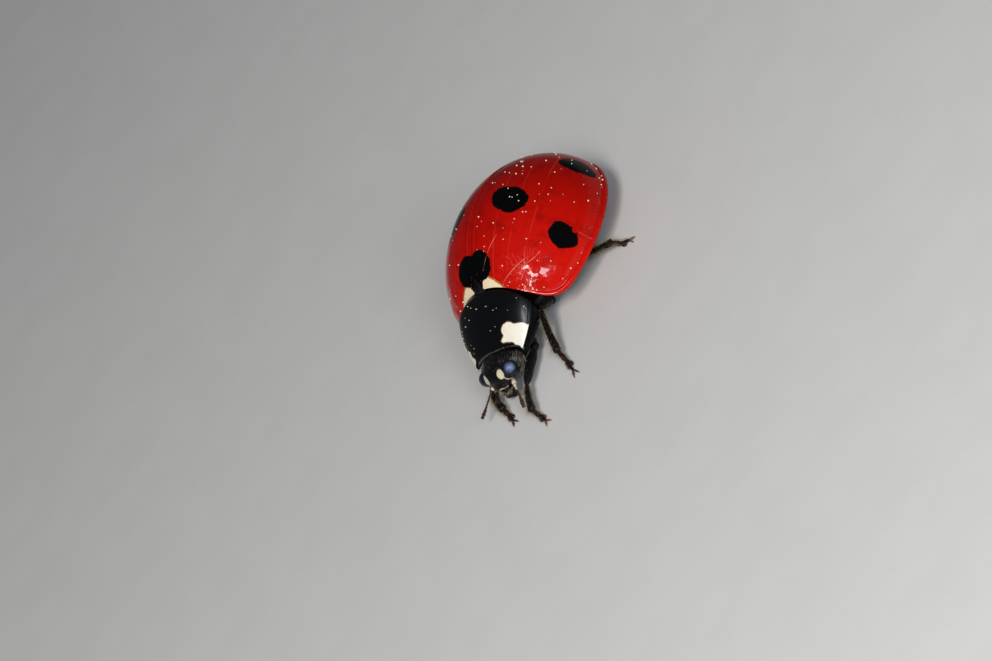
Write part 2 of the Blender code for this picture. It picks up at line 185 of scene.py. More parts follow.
COXA_ROOTS = {"front": (0.34, -0.60, -0.22), "middle": (0.45, 1.10, -0.22), "hind": (0.25, 2.52, -0.22)}

# Feelers from socket to tip, how much of each is whitish (its own pale root, drawn longer on the left one as
# a painted highlight), and their joints' ends and half-widths.
FEELERS = {
    "left": ((0.38, -2.24, -0.26), (0.53, -2.52, -0.30), (0.713, -2.80, -0.35), (0.936, -3.15, -0.39),
             (1.12, -3.47, -0.44)),
    "right": ((-0.38, -2.26, -0.16), (-0.52, -2.45, -0.22), (-0.60, -2.70, -0.26), (-0.68, -3.00, -0.31),
              (-0.76, -3.25, -0.34)),
}
FEELER_PALE_AND_LIT = {"left": 0.38, "right": 0.11}
FEELER_ENDS = (0, 0.17, 0.27, 0.34, 0.41, 0.48, 0.55, 0.62, 0.70, 0.79, 0.90, 1)
FEELER_WIDTHS = (0.074, 0.048, 0.034, 0.032, 0.032, 0.033, 0.035, 0.040, 0.056, 0.066, 0.055)

# The lower lip, a jaw and a mouth feeler's joints: centre line, then place, half-width and half-height on it.
LOWER_LIP = (((0, -2.10, -0.44), (0, -2.36, -0.52), (0, -2.56, -0.59)),
             ((0, 0.16, 0.08), (0.5, 0.20, 0.09), (1, 0.15, 0.06)))
JAW = (((0.26, -2.22, -0.40), (0.20, -2.38, -0.47), (0.05, -2.47, -0.50)),
       ((0, 0.09, 0.07), (0.5, 0.08, 0.06), (1, 0.02, 0.03)))
MOUTH_FEELER = (
    (((0.30, -2.12, -0.30), (0.36, -2.24, -0.33), (0.39, -2.34, -0.34)),
     ((0, 0.05, 0.05), (1, 0.06, 0.055)), 0.25),
    (((0.39, -2.32, -0.34), (0.40, -2.40, -0.36), (0.39, -2.47, -0.38)),
     ((0, 0.045, 0.045), (1, 0.065, 0.06)), 0.25),
    (((0.39, -2.45, -0.38), (0.41, -2.60, -0.44), (0.40, -2.74, -0.50)),
     ((0, 0.05, 0.05), (0.55, 0.09, 0.06), (0.85, 0.125, 0.05), (1, 0.12, 0.04)), 0.12),
    (((0.13, -2.22, -0.44), (0.13, -2.36, -0.53), (0.12, -2.44, -0.57)),
     ((0, 0.035, 0.035), (0.5, 0.04, 0.035), (1, 0.03, 0.03)), 0.25),
)

# The hairs' random draws, how far a hair bends aside by its tip as a share of its length, and its points'
# places in its patch of the baking map.
HAIR_SEED = 7
HAIR_DROOP = 0.25
HAIR_PATCH = ((0, 0), (1, 0), (0.5, 0.2), (0, 0.5), (1, 0.5), (0.5, 0.6), (0.1, 0.9), (0.9, 0.9), (0.5, 0.95),
              (0.5, 1))

# The grains' random draws, the shares of them near the rim and on the left, and those added on the pronotum.
POLLEN_SEED = 23
POLLEN_RIM = 0.42
POLLEN_LEFT = 0.72
POLLEN_SHIELD = 0.22

# The camera's azimuth, elevation and roll in degrees, its distance, and how far it aims aside and above.
CAMERA_TURNS = (49.3, 25, 307.4)
CAMERA_DISTANCE = 0.1542
CAMERA_SHIFT = (-0.000486, -0.002113)

# The surroundings' colour and strength; each lamp's direction, distance, width, height, power and colour.
ROOM_COLOUR = (0.85, 0.90, 1)
ROOM_LIGHT = 0.10
LAMPS = (
    ("key", (0.46, -0.62, 0.63), 0.16, 0.036, 0.066, 0.150, (1, 0.97, 0.93)),
    ("low_key", (0.79, -0.49, 0.37), 0.16, 0.044, 0.056, 0.110, (0.86, 0.93, 1)),
)

LEFT_BOX, RIGHT_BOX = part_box("elytron_left"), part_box("elytron_right")
UNIT = (LEFT_BOX[1].x - RIGHT_BOX[0].x) / 2 / (DOME_WIDTH + SEAM + RIM_LIP)
ORIGIN = vec((LEFT_BOX[1].x + RIGHT_BOX[0].x) / 2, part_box("scutellum")[0].y, LEFT_BOX[0].z)


def place(points):
    """Turn drawing units into metres: scale them, then set the rim's plane on its level."""
    return np.asarray(points, float) * UNIT + ORIGIN


# ---------------------------------------------------------------- sizes and colours


def length(name, default, description):
    """A length property, in metres."""
    return FloatProperty(name=name, description=description, default=default, min=0, subtype="DISTANCE",
                         unit="LENGTH", precision=6)


def colour(name, default, description):
    """A colour property."""
    return FloatVectorProperty(name=name, description=description, default=default, subtype="COLOR", size=3,
                               min=0, max=1)


class LadybirdSizes(PropertyGroup):
    """Fine sizes of the insect's surface and the stage."""

    puncture_depth: length("Puncture depth", 0.0000022, "Depth of the wing cases' tiny pits")
    puncture_spacing: length("Puncture spacing", 0.000075, "Distance between the wing cases' pits")
    facet_size: length("Facet size", 0.000022, "Width of one facet of an eye")
    hair_width: length("Hair width", 0.000007, "Thickness of a hair at its root")
    fringe_length: length("Leg hair length", 0.00017, "Length of the hairs along the shins")
    down_length: length("Down length", 0.00009, "Length of the short hairs of head and belly")
    grain_size: length("Grain size", 0.000021, "Radius of a pollen grain")
    grain_count: IntProperty(name="Grains", description="How many pollen grains lie on the back",
                             default=150, min=0)
    floor_size: length("Floor size", 0.8, "Width of the floor")
    lens: FloatProperty(name="Lens", description="Camera focal length in millimetres", default=200, min=1)
    gloss: FloatProperty(name="Gloss", description="Roughness of the wing cases under their clear layer",
                         default=0.16, min=0, max=1)


class LadybirdColours(PropertyGroup):
    """Colours of the insect and the stage."""

    wing_red: colour("Wing red", (0.50, 0.0030, 0.0008), "Main colour of the wing cases")
    # Painted light: the red painted brighter towards the side rim and on the rim's front.
    wing_lit_red: colour("Wing bright red", (0.58, 0.0055, 0.0012), "Wing cases towards the side rim")
    # Painted shade along the seam and towards the back, and random darker patches.
    wing_deep_and_shade: colour("Wing deep red", (0.17, 0.0012, 0.0008), "Wing cases along the seam")
    wing_cream: colour("Wing cream", (0.88, 0.70, 0.47), "Pale patches at the wing cases' base")
    shield_cream: colour("Shield cream", (0.90, 0.885, 0.80), "Front corners of the pronotum")
    straw: colour("Straw", (0.80, 0.62, 0.34), "Yellower parts of the pale patches")
    face_cream: colour("Face cream", (0.54, 0.555, 0.44), "Marks of the head")
    black: colour("Black", (0.0022, 0.0022, 0.0026), "Black cuticle")
    brown: colour("Brown", (0.055, 0.013, 0.005), "Feelers, mouth feelers and feet")
    amber: colour("Amber", (0.42, 0.16, 0.045), "Brown edges of the pale patches")
    eye: colour("Eye", (0.004, 0.005, 0.009), "Compound eyes")
    # Painted sheen: a bluish reflection painted on the front of the eyes.
    eye_bloom: colour("Eye bloom", (0.30, 0.41, 0.78), "Bluish bloom on the front of the eyes")
    gold_hair: colour("Golden hair", (0.58, 0.50, 0.30), "Hairs of the legs")
    white_hair: colour("Pale hair", (0.70, 0.64, 0.52), "Hairs of the head and belly")
    pollen: colour("Pollen", (0.95, 0.84, 0.55), "Pollen grains")
    floor: colour("Floor", (0.80, 0.79, 0.77), "Floor of the display")


def sizes():
    """The sizes set in the panel."""
    return bpy.context.scene.ladybird_sizes


def tint(name, share=1):
    """A colour set in the panel, darkened to a share of itself."""
    return tuple(v * share for v in getattr(bpy.context.scene.ladybird_colours, name))


# ---------------------------------------------------------------- meshes from arrays


def grid_faces(rows, columns):
    """Four-cornered faces over a grid of rows x columns points."""
    i, j = np.meshgrid(np.arange(rows - 1), np.arange(columns - 1), indexing="ij")
    a = i * columns + j
    return np.stack([a, a + columns, a + columns + 1, a + 1], -1).reshape(-1, 4)


def lattice(first, last, count, left, right, columns):
    """Two numbers over a grid: one rising evenly along its rows, the other along its columns."""
    return np.meshgrid(np.linspace(first, last, count), np.linspace(left, right, columns), indexing="ij")


def slab(upper, lower):
    """Points and faces of a closed body between two equal grids, walled round their shared edge."""
    rows, columns = upper.shape[:2]
    count = rows * columns
    edge = np.concatenate([
        np.arange(rows) * columns,
        (rows - 1) * columns + np.arange(1, columns),
        np.arange(rows - 2, -1, -1) * columns + columns - 1,
        np.arange(columns - 2, 0, -1),
    ])
    ahead = np.roll(edge, -1)
    walls = np.stack([ahead, edge, edge + count, ahead + count], -1)
    top = grid_faces(rows, columns)
    faces = np.concatenate([top, top[:, ::-1] + count, walls])
    return outward(np.concatenate([upper.reshape(-1, 3), lower.reshape(-1, 3)]), faces)


def rings(grid):
    """Points and faces of a closed body from rings of points; its first and last rings are single points."""
    count, sides = grid.shape[:2]
    i, j = np.meshgrid(np.arange(count - 1), np.arange(sides), indexing="ij")
    a = i * sides + j
    b = i * sides + (j + 1) % sides
    return outward(grid.reshape(-1, 3), np.stack([a, b, b + sides, a + sides], -1).reshape(-1, 4))


def joined(bodies):
    """Several bodies' points and faces as one."""
    starts = np.cumsum([0] + [len(points) for points, _ in bodies])
    return (np.concatenate([points for points, _ in bodies]),
            np.concatenate([faces + start for (_, faces), start in zip(bodies, starts)]))


def outward(points, faces):
    """The body with its faces turned outward: its signed volume, a sum of corner products, is positive."""
    a, b, c, d = ((points - points.mean(0))[faces[:, k]] for k in (0, 1, 2, -1))
    total = np.einsum("ij,ij->", a, np.cross(b, c))
    if faces.shape[1] == 4:
        total += np.einsum("ij,ij->", a, np.cross(c, d))
    return points, faces[:, ::-1] if total < 0 else faces


def add_object(name, data):
    """Put an object into the scene."""
    thing = bpy.data.objects.new(name, data)
    bpy.context.scene.collection.objects.link(thing)
    return thing


def make_piece(name, body, finish, slot, nodes=(), values=None, weld=2e-8):
    """Make one mesh object from a body, with named numbers on its points, riding on the root."""
    points, faces = body
    mesh = bpy.data.meshes.new(name)
    mesh.from_pydata(place(points).tolist(), [], faces.tolist())
    for key, numbers in (values or {}).items():
        numbers = np.broadcast_to(np.asarray(numbers, np.float32).ravel(), len(points))
        mesh.attributes.new(key, "FLOAT", "POINT").data.foreach_set("value", np.ascontiguousarray(numbers))
    if weld:
        bm = bmesh.new()
        bm.from_mesh(mesh)
        bmesh.ops.remove_doubles(bm, verts=bm.verts, dist=weld)
        bmesh.ops.dissolve_degenerate(bm, edges=bm.edges, dist=weld)
        bm.to_mesh(mesh)
        bm.free()
    mesh.shade_smooth()
    mesh.materials.append(finish)
    piece = add_object(name, mesh)
    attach(piece, "root")
    if nodes:
        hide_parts(*nodes)
    return piece


def unit(vectors):
    """The vectors at length one."""
    return vectors / np.maximum(np.linalg.norm(vectors, axis=-1, keepdims=True), 1e-12)


def smooth(low, high, x):
    """Rise from 0 to 1 between two values with level ends: 3t squared less 2t cubed."""
    t = np.clip((x - low) / (high - low), 0, 1)
    return t * t * (3 - 2 * t)


def hump(x, middle, width):
    """A bell curve of height one: e to minus the squared distance over the width."""
    return np.exp(-((x - middle) / width) ** 2)


def mound(p, middle, spread):
    """The same bell round a point: e to minus the squared distance over the spread."""
    return np.exp(-np.sum((p - middle) ** 2, -1) / spread)


def spline(points, t):
    """A smooth curve through points: a cubic between each two, its slope at each half its neighbours' gap."""
    p = np.asarray(points, float)
    p = np.concatenate([[2 * p[0] - p[1]], p, [2 * p[-1] - p[-2]]])
    s = np.clip(np.asarray(t, float), 0, 1) * (len(p) - 3)
    k = np.minimum(s.astype(int), len(p) - 4)
    s = (s - k)[:, None]
    a, b, c, d = (p[k + n] for n in range(4))
    return 0.5 * (2 * b + (c - a) * s + (2 * a - 5 * b + 4 * c - d) * s ** 2
                  + (3 * b - a - 3 * c + d) * s ** 3)


def closed_curve(corners, parts=4):
    """A smooth closed curve through corners: the same cubic, run once more round the start."""
    ring = corners[-2:] + corners + corners[:2]
    t = np.linspace(2, len(corners) + 2, len(corners) * parts, endpoint=False) / (len(ring) - 1)
    return [tuple(p) for p in spline(ring, t).tolist()]


def circle(sides):
    """Angles round a circle."""
    return 2 * pi * np.arange(sides) / sides


def around(side, over, turn):
    """Directions round a line: a circle's cosines along one vector and its sines along the other."""
    return side * np.cos(turn)[..., None] + over * np.sin(turn)[..., None]


def ends(s, first, last):
    """Round off a tube's two ends: a quarter circle over the first and last parts of its length."""
    a = np.clip(s / first, 0, 1)
    b = np.clip((1 - s) / last, 0, 1)
    return np.sqrt(np.clip(1 - (1 - a) ** 2, 0, 1) * np.clip(1 - (1 - b) ** 2, 0, 1))


def steps(count):
    """Numbers from 0 to 1, closer together near both ends."""
    return 0.5 - 0.5 * np.cos(np.linspace(0, pi, count))


def tube(path, wide, high, sides, level=(0, 0, 1)):
    """A closed body of an ellipse's points round a path: wide along the level side, high across it."""
    along = unit(np.gradient(path, axis=0))
    side = unit(np.cross(along, np.asarray(level, float)))
    over = np.cross(side, along)
    turn = circle(sides)[None, :, None]
    wide, high = wide[:, None, None], high[:, None, None]
    return rings(path[:, None] + side[:, None] * np.cos(turn) * wide + over[:, None] * np.sin(turn) * high)


def limb(points, stations, sides=18, count=14, side=1, level=(0, 0, 1), first=0.25, last=0.25):
    """A joint along a smooth curve, its ends rounded off; side -1 mirrors it.

    Its half-width and half-height run straight between the stations (place, half-width, half-height).
    """
    s = steps(count)
    at, wide, high = (np.array(column) for column in zip(*stations))
    round_off = ends(s, first, last)
    path = spline(np.asarray(points) * vec(side, 1, 1), s)
    return tube(path, np.interp(s, at, wide) * round_off, np.interp(s, at, high) * round_off, sides, level)


def sphere(tilt, turn):
    """Points of a ball of radius one from tilts off its front pole and turns about the y axis."""
    out = np.sin(tilt)
    return np.stack([out * np.cos(turn), -np.cos(tilt) + 0 * turn, out * np.sin(turn)], -1)


def segment_distance(p, a, b):
    """Distance from points to the straight line between two points."""
    a, b = np.asarray(a), np.asarray(b)
    t = np.clip(((p - a) @ (b - a)) / ((b - a) @ (b - a)), 0, 1)
    return np.linalg.norm(p - a - t[..., None] * (b - a), axis=-1)


def polygon_distance(x, y, corners):
    """Signed distance to a polygon's outline, negative inside: nearest edge, sign by crossings."""
    best = np.full(np.shape(x), 1e9)
    inside = np.zeros(np.shape(x), bool)
    for (ax, ay), (bx, by) in zip(corners, corners[1:] + corners[:1]):
        ex, ey = bx - ax, by - ay
        wx, wy = x - ax, y - ay
        t = np.clip((wx * ex + wy * ey) / (ex * ex + ey * ey), 0, 1)
        best = np.minimum(best, np.hypot(wx - ex * t, wy - ey * t))
        crosses = (ay > y) != (by > y)
        inside ^= crosses & (x < ex * (y - ay) / (ey if ey else 1e-9) + ax)
    return np.where(inside, -best, best)


# ---------------------------------------------------------------- material helpers


class Value:
    """A number or colour somewhere in a node tree, which sums can be done on."""

    def __init__(self, sheet, socket):
        """Keep the sheet and the output that the value comes from."""
        self.sheet, self.socket = sheet, socket

    def math(self, operation, other=0, clamp=False):
        """One sum on this number and another."""
        return self.sheet.math(operation, self, other, clamp)

    def __add__(self, other):
        """This number and another."""
        return self.math("ADD", other)

    def __radd__(self, other):
        """Another number and this one."""
        return self.sheet.math("ADD", other, self)

    def __sub__(self, other):
        """This number less another."""
        return self.math("SUBTRACT", other)

    def __rsub__(self, other):
        """Another number less this one."""
        return self.sheet.math("SUBTRACT", other, self)

    def __mul__(self, other):
        """This number times another."""
        return self.math("MULTIPLY", other)

    def __abs__(self):
        """This number without its sign."""
        return self.math("ABSOLUTE")

    def most(self, other):
        """The greater of this number and another."""
        return self.math("MAXIMUM", other)

    def ramp(self, low, high, to_low=0, to_high=1):
        """Map a range of this number onto another, smoothly and clamped."""
        pairs = {0: self, 1: low, 2: high, 3: to_low, 4: to_high}
        return self.sheet.add("MapRange", pairs, interpolation_type="SMOOTHSTEP")

    def near(self, at, wide, top=1):
        """A thin line where this number comes near another."""
        return abs(self - at).ramp(0, wide, top, 0)


class Sheet:
    """A node tree with short ways to add and join nodes."""

    def __init__(self, tree):
        """Keep the tree."""
        self.tree = tree

    def feed(self, socket, value):
        """Join a value to a socket, or set it; a colour is a name from the panel or three numbers."""
        if isinstance(value, Value):
            self.tree.links.new(value.socket, socket)
        elif socket.type == "RGBA":
            socket.default_value = (*(tint(value) if isinstance(value, str) else value), 1)
        else:
            socket.default_value = value

    def add(self, kind, inputs=None, output=0, **settings):
        """Add a node, feed its inputs and return one of its outputs."""
        node = self.tree.nodes.new("ShaderNode" + kind)
        for key, value in settings.items():
            setattr(node, key, value)
        for key, value in (inputs or {}).items():
            self.feed(node.inputs[key], value)
        return Value(self, node.outputs[output])

    def math(self, operation, a, b=0, clamp=False):
        """One sum on two numbers."""
        return self.add("Math", {0: a, 1: b}, operation=operation, use_clamp=clamp)

    def mix(self, share, a, b):
        """Mix two colours by a share."""
        return self.add("Mix", {0: share, 6: a, 7: b}, 2, data_type="RGBA")

    def layers(self, tone, *layers):
        """A colour with others laid over it in turn, each by its share."""
        for share, over in layers:
            tone = self.mix(share, tone, over)
        return tone

    def number(self, name):
        """A number stored on the mesh's points."""
        return self.add("Attribute", None, "Fac", attribute_name=name)

    def place(self):
        """The point's own place on the object, in metres."""
        return self.add("TexCoord", None, "Object")

    def noise(self, scale, detail=3, vector=None, roughness=0.5):
        """Soft noise from 0 to 1 with a given number of waves per metre."""
        pairs = {"Vector": vector or self.place(), "Scale": scale, "Detail": detail, "Roughness": roughness}
        return self.add("TexNoise", pairs)

    def cells(self, scale, randomness):
        """Distance to the nearest point of a jittered lattice with a given number of points per metre."""
        pairs = {"Vector": self.place(), "Scale": scale, "Randomness": randomness}
        return self.add("TexVoronoi", pairs, "Distance")

    def effect(self, name, *values):
        """A shared effect placed in this tree, its inputs in the order of EFFECTS."""
        return self.add("Group", dict(enumerate(values)), node_tree=effect(name))

    def pits(self, scale, width):
        """The pits effect, with a given number of pits per metre."""
        return self.effect("pits", scale, width)

    def edge(self, distance, scale, ragged):
        """The edge effect: a patch's mask from the distance to its outline."""
        return self.effect("edge", distance, scale, ragged)

    def mottled(self, base, spread, scale=3000):
        """A number that varies softly upwards from a base."""
        return base + self.effect("mottle", scale) * spread

    def finish(self, height=None, depth=0, **inputs):
        """Feed the shader: a bump of some depth from a height, and inputs by name with _ for a space."""
        shader = self.tree.nodes["Principled BSDF"]
        if height is not None:
            inputs["Normal"] = self.add("Bump", {"Height": height, "Distance": depth, "Strength": 1})
        for key, value in inputs.items():
            self.feed(shader.inputs[key.replace("_", " ")], value)


def effect_pits(sheet, scale, width):
    """Pits: near each point of a jittered lattice the surface dips, as 1 at the middle and 0 outside."""
    return sheet.cells(scale, 0.7).ramp(0, width, 1, 0)


def effect_edge(sheet, distance, scale, ragged):
    """A patch's mask from the distance to its outline, made a little ragged with noise."""
    return (distance + (sheet.noise(scale, 4) - 0.5) * ragged).ramp(-0.012, 0.012, 1, 0)


def effect_mottle(sheet, scale):
    """Broad soft variation from 0 to 1 in two sizes."""
    return (sheet.noise(scale, 2) * 0.7 + sheet.noise(scale * 6, 3) * 0.3).ramp(0.30, 0.70)


def effect_scratch(sheet, scale, lines, width):
    """Hairline scratches: the level lines of a drawn-out noise, kept only where a second noise is high."""
    drawn = sheet.add("VectorMath", {0: sheet.place(), 1: (1, 0.45, 0.75)}, operation="MULTIPLY")
    levels = sheet.noise(scale, 1.5, drawn) * lines
    return levels.math("FRACT").near(0.5, width) * sheet.noise(2600, 2).ramp(0.38, 0.58)


# Depth of each skin's relief, in metres.
SHIELD_RELIEF = 0.0000014
HEAD_RELIEF = 0.0000016
LEG_RELIEF = 0.0000018
FEELER_RELIEF = 0.0000020
CUTICLE_RELIEF = 0.0000025
EYE_RELIEF = 0.0000030
BELLY_RELIEF = 0.0000030
POLLEN_RELIEF = 0.0000010
FLOOR_RELIEF = 0.0000040

# The shared effects: what builds each, its inputs with their defaults, and its output.
EFFECTS = {
    "pits": (effect_pits, {"Scale": 12000, "Width": 0.35}, "Mask"),
    "edge": (effect_edge, {"Distance": 0, "Scale": 7000, "Ragged": 0.10}, "Mask"),
    "mottle": (effect_mottle, {"Scale": 600}, "Value"),
    "scratch": (effect_scratch, {"Scale": 2600, "Lines": 9, "Width": 0.06}, "Mask"),
}


def effect(name):
    """The shared node group of that name, built the first time it is asked for."""
    known = bpy.data.node_groups.get("ladybird_" + name)
    if known:
        return known
    build, inputs, output = EFFECTS[name]
    tree = bpy.data.node_groups.new("ladybird_" + name, "ShaderNodeTree")
    for key, value in inputs.items():
        socket = tree.interface.new_socket(name=key, in_out="INPUT", socket_type="NodeSocketFloat")
        socket.default_value = value
    tree.interface.new_socket(name=output, in_out="OUTPUT", socket_type="NodeSocketFloat")
    start, end = tree.nodes.new("NodeGroupInput"), tree.nodes.new("NodeGroupOutput")
    sheet = Sheet(tree)
    sheet.feed(end.inputs[0], build(sheet, *(Value(sheet, start.outputs[key]) for key in inputs)))
    return tree


def material(name, build, *values):
    """A material, built the first time it is asked for."""
    name = "ladybird_" + name
    finish = bpy.data.materials.get(name)
    if finish is None:
        finish = bpy.data.materials.new(name)
        finish.use_nodes = True
        build(Sheet(finish.node_tree), *values)
    return finish


def wing_finish(sheet):
    """Wing case: clear-layered red with black spots, cream base patches, pale veins, pits and scratches;
    painted light brighter towards the rim, painted shade along the seam and towards the back, and a painted
    highlight beside the seam.
    """
    lane, rim, seam, back, pale = (sheet.number(key) for key in ("lane", "rim", "seam", "back", "pale"))
    mottle = sheet.effect("mottle", 700)
    swirls = sheet.effect("scratch", 1500, 15, 0.045)
    hairlines = sheet.effect("scratch", 3400, 10, 0.04)
    scratch = swirls.most(hairlines) * sheet.number("worn").ramp(0.10, 0.75)
    veins = reduce(Value.most, (lane.near(at, wide) for at, wide in VEINS))
    veins = veins * sheet.noise(900, 2).ramp(0.35, 0.65, 0.06, 0.42)
    spot = sheet.edge(sheet.number("spot"), 8000, 0.11)
    pits = sheet.pits(1 / sizes().puncture_spacing, 0.30)
    row = rim.near(0.25, 0.07)
    lines = [abs(sheet.number(f"scratch_{k}")).ramp(0, 0.011, 1, 0) for k in range(len(SCRATCHES))]
    tone = sheet.layers(
        # Painted light: the red turns brighter towards the side rim, with random mottling.
        sheet.mix((lane * 0.75).math("ADD", mottle * 0.25, True), "wing_red", "wing_lit_red"),
        # Painted shade: darker along the seam.
        (seam.ramp(0.10, 0.60, 1, 0) * 0.20, "wing_deep_and_shade"),
        # Painted shade: darker towards the back, away from the lamps.
        (back.ramp(1, 4.2, 0, 0.50), "wing_deep_and_shade"),
        (sheet.noise(2300, 5, roughness=0.65).ramp(0.46, 0.72, 0, 0.45), "wing_deep_and_shade"),
        # Pale veins, and a painted highlight: a pale line on the ridge beside the seam.
        (veins.most(seam.near(0.15, 0.012, 0.35)), (0.85, 0.10, 0.04)),
        (scratch * 0.36, (0.95, 0.42, 0.34)),
        # Painted light: the rim strip painted brighter, most at the front.
        (rim.ramp(0.05, 0.22, 1, 0) * back.ramp(0.8, 2.6, 0.5, 0.1), "wing_lit_red"),
        (sheet.edge(pale - 0.05, 9000, 0.05), "amber"),
        (sheet.edge(pale, 9000, 0.05), "wing_cream"),
        (spot, "black"),
        *((line * sheet.noise(5000, 2).ramp(0.35, 0.62, 0.08, 0.65), (0.90, 0.55, 0.45)) for line in lines),
        (pits * row * 0.55, (0.95, 0.40, 0.32)),
    )
    height = sheet.noise(5200, 2) * 0.9 - pits * (0.30 + row * 1.2) - scratch * 0.45
    clear = (0.10 + sheet.number("polish") * 0.52) * (1 - spot * 0.88)
    sheet.finish(height, sizes().puncture_depth, Base_Color=tone, Coat_Weight=clear,
                 Roughness=sizes().gloss + mottle * 0.10 + scratch * 0.25, Specular_IOR_Level=0.03,
                 Coat_Roughness=0.08, Coat_IOR=1.62, Subsurface_Weight=0.06,
                 Subsurface_Radius=(0.0005, 0.00006, 0.00002), Subsurface_Scale=1)


def black_marks(sheet, cream, border=0.022, ragged=0.06):
    """Black cuticle with pale patches that have a thin brown border; returns the colour."""
    pale = sheet.number("pale")
    inner = sheet.edge(pale, 8000, ragged)
    outer = sheet.edge(pale - border, 8000, ragged)
    shade = sheet.layers(cream, (sheet.effect("mottle", 1300) * 0.38, "straw"),
                         (sheet.noise(2600).ramp(0.5, 0.7) * 0.35, (0.95, 0.92, 0.84)))
    return sheet.layers("black", (outer * 0.5, "amber"), (inner, shade))


def shield_finish(sheet):
    """Pronotum: shiny black, finely pitted, with cream front corners."""
    height = sheet.noise(7000, 2) * 0.6 - sheet.pits(21000, 0.33)
    sheet.finish(height, SHIELD_RELIEF, Base_Color=black_marks(sheet, "shield_cream"),
                 Roughness=sheet.mottled(0.29, 0.10, 1500), Specular_IOR_Level=0.20,
                 Specular_Tint=(0.80, 0.88, 1), Coat_Weight=0.26, Coat_Roughness=0.20, Coat_IOR=1.4)


def head_finish(sheet):
    """Head: black, closely pitted, with cream marks beside the eyes and on the lip's edge."""
    height = sheet.noise(16000) * 0.8 - sheet.pits(26000, 0.36)
    sheet.finish(height, HEAD_RELIEF, Base_Color=black_marks(sheet, "face_cream", 0.008, 0.03),
                 Roughness=sheet.mottled(0.28, 0.15), Specular_IOR_Level=0.4)


def eye_finish(sheet):
    """Eye: blue-black facets packed as cells, with a painted sheen, a pale blue reflection painted where the
    stored number is high.
    """
    facet = 1 - sheet.cells(1 / sizes().facet_size, 0.25)
    # Painted sheen: a pale blue reflection painted into the colour, broken up by the facets.
    bloom = sheet.number("bloom") * sheet.noise(14000).ramp(0.30, 0.70, 0.35, 1) * facet
    sheet.finish(facet, EYE_RELIEF, Base_Color=sheet.mix(bloom, "eye", "eye_bloom"), Roughness=0.36,
                 Specular_IOR_Level=0.50, Specular_Tint=(0.70, 0.82, 1), Coat_Weight=0.20,
                 Coat_Roughness=0.22)


def cuticle_finish(sheet, first, second, rough=0.30, scale=15000):
    """Plain hard skin of two mottled tones, pitted and slightly uneven."""
    tone = sheet.mix(sheet.effect("mottle", 2200).ramp(0.35, 0.75), first, second)
    height = sheet.noise(scale) * 0.8 - sheet.pits(scale, 0.35)
    sheet.finish(height, CUTICLE_RELIEF, Base_Color=tone, Roughness=sheet.mottled(rough, 0.18),
                 Specular_IOR_Level=0.30)


def belly_finish(sheet):
    """Underside: dull black plates with pale side plates, closely pitted."""
    height = sheet.noise(9000) - sheet.pits(14000, 0.38)
    sheet.finish(height, BELLY_RELIEF, Base_Color=black_marks(sheet, "shield_cream", ragged=0.05),
                 Roughness=0.50, Specular_IOR_Level=0.10)


def leg_finish(sheet):
    """Legs: black, turning brown towards the foot by the number stored along the leg."""
    share = sheet.number("brown") * sheet.noise(5000, 2).ramp(0.2, 0.8, 0.6, 1)
    height = sheet.noise(12000) - sheet.pits(18000, 0.36)
    sheet.finish(height, LEG_RELIEF, Base_Color=sheet.mix(share, "black", "brown"),
                 Roughness=sheet.mottled(0.44, 0.18), Specular_IOR_Level=0.22)


def feeler_finish(sheet):
    """Feelers: whitish at the root, partly a painted highlight on the left one; reddish brown, dark at the
    club, by the number along them.
    """
    tone = sheet.layers((0.80, 0.74, 0.64), (sheet.noise(9000, 2), (0.45, 0.36, 0.28)),
                        (sheet.number("bare").ramp(0, 0.06), "brown"),
                        (sheet.number("along").ramp(0.70, 0.82), (0.030, 0.010, 0.006)))
    sheet.finish(sheet.noise(15000), FEELER_RELIEF, Base_Color=tone, Roughness=0.38)


def hair_finish(sheet, horn):
    """Hair: tinted horn, a little darker from hair to hair."""
    dark = (horn[0] * 0.35, horn[1] * 0.30, horn[2] * 0.25)
    sheet.finish(Base_Color=sheet.mix(sheet.noise(6000, 1), dark, horn), Roughness=0.40)


def pollen_finish(sheet):
    """Pollen: pale yellow, with a rough skin."""
    tone = sheet.mix(sheet.noise(30000, 2), "pollen", (0.95, 0.90, 0.74))
    sheet.finish(sheet.noise(120000, 1), POLLEN_RELIEF, Base_Color=tone, Roughness=0.6)


def floor_finish(sheet):
    """Floor: pale paper, faintly cloudy."""
    tone = sheet.mix(sheet.noise(500, 4).ramp(0.3, 0.7, 0, 0.12), "floor", (0.62, 0.61, 0.59))
    sheet.finish(sheet.noise(9000), FLOOR_RELIEF, Base_Color=tone, Roughness=0.85)


# ---------------------------------------------------------------- wing cases


def base_line(x):
    """How far back the wing cases' front margin lies: a shallow bow with the scutellum's notch."""
    x = np.abs(x)
    return np.maximum(0, 1 - x / SCUTELLUM_HALF_WIDTH) * SCUTELLUM_LENGTH - BASE_BOW * x * x


def squared(angle):
    """How far the outline stands out at an angle: 1 behind, a squarer oval in front."""
    side, ahead = np.abs(np.sin(angle)), np.maximum(np.cos(angle), 0)
    total = side ** DOME_SQUARENESS + ahead ** DOME_SQUARENESS
    return np.where(np.cos(angle) > 0, total ** (-1 / DOME_SQUARENESS), 1)


def reach_of(angle):
    """How much of the dome's radius a wing case covers: up to the base line, with a rounded shoulder."""
    ahead = np.cos(angle) * squared(angle)
    reach = np.full(np.shape(angle), 0.8)
    for _ in range(40):
        x = DOME_WIDTH * squared(angle) * np.sin(angle) * reach
        reach = (DOME_APEX_Y - base_line(x)) / (DOME_FRONT * np.maximum(ahead, 0.05))
    power = -SHOULDER_SHARPNESS
    return np.where(ahead > 0.05, (reach ** power + 1) ** (1 / power), 1)


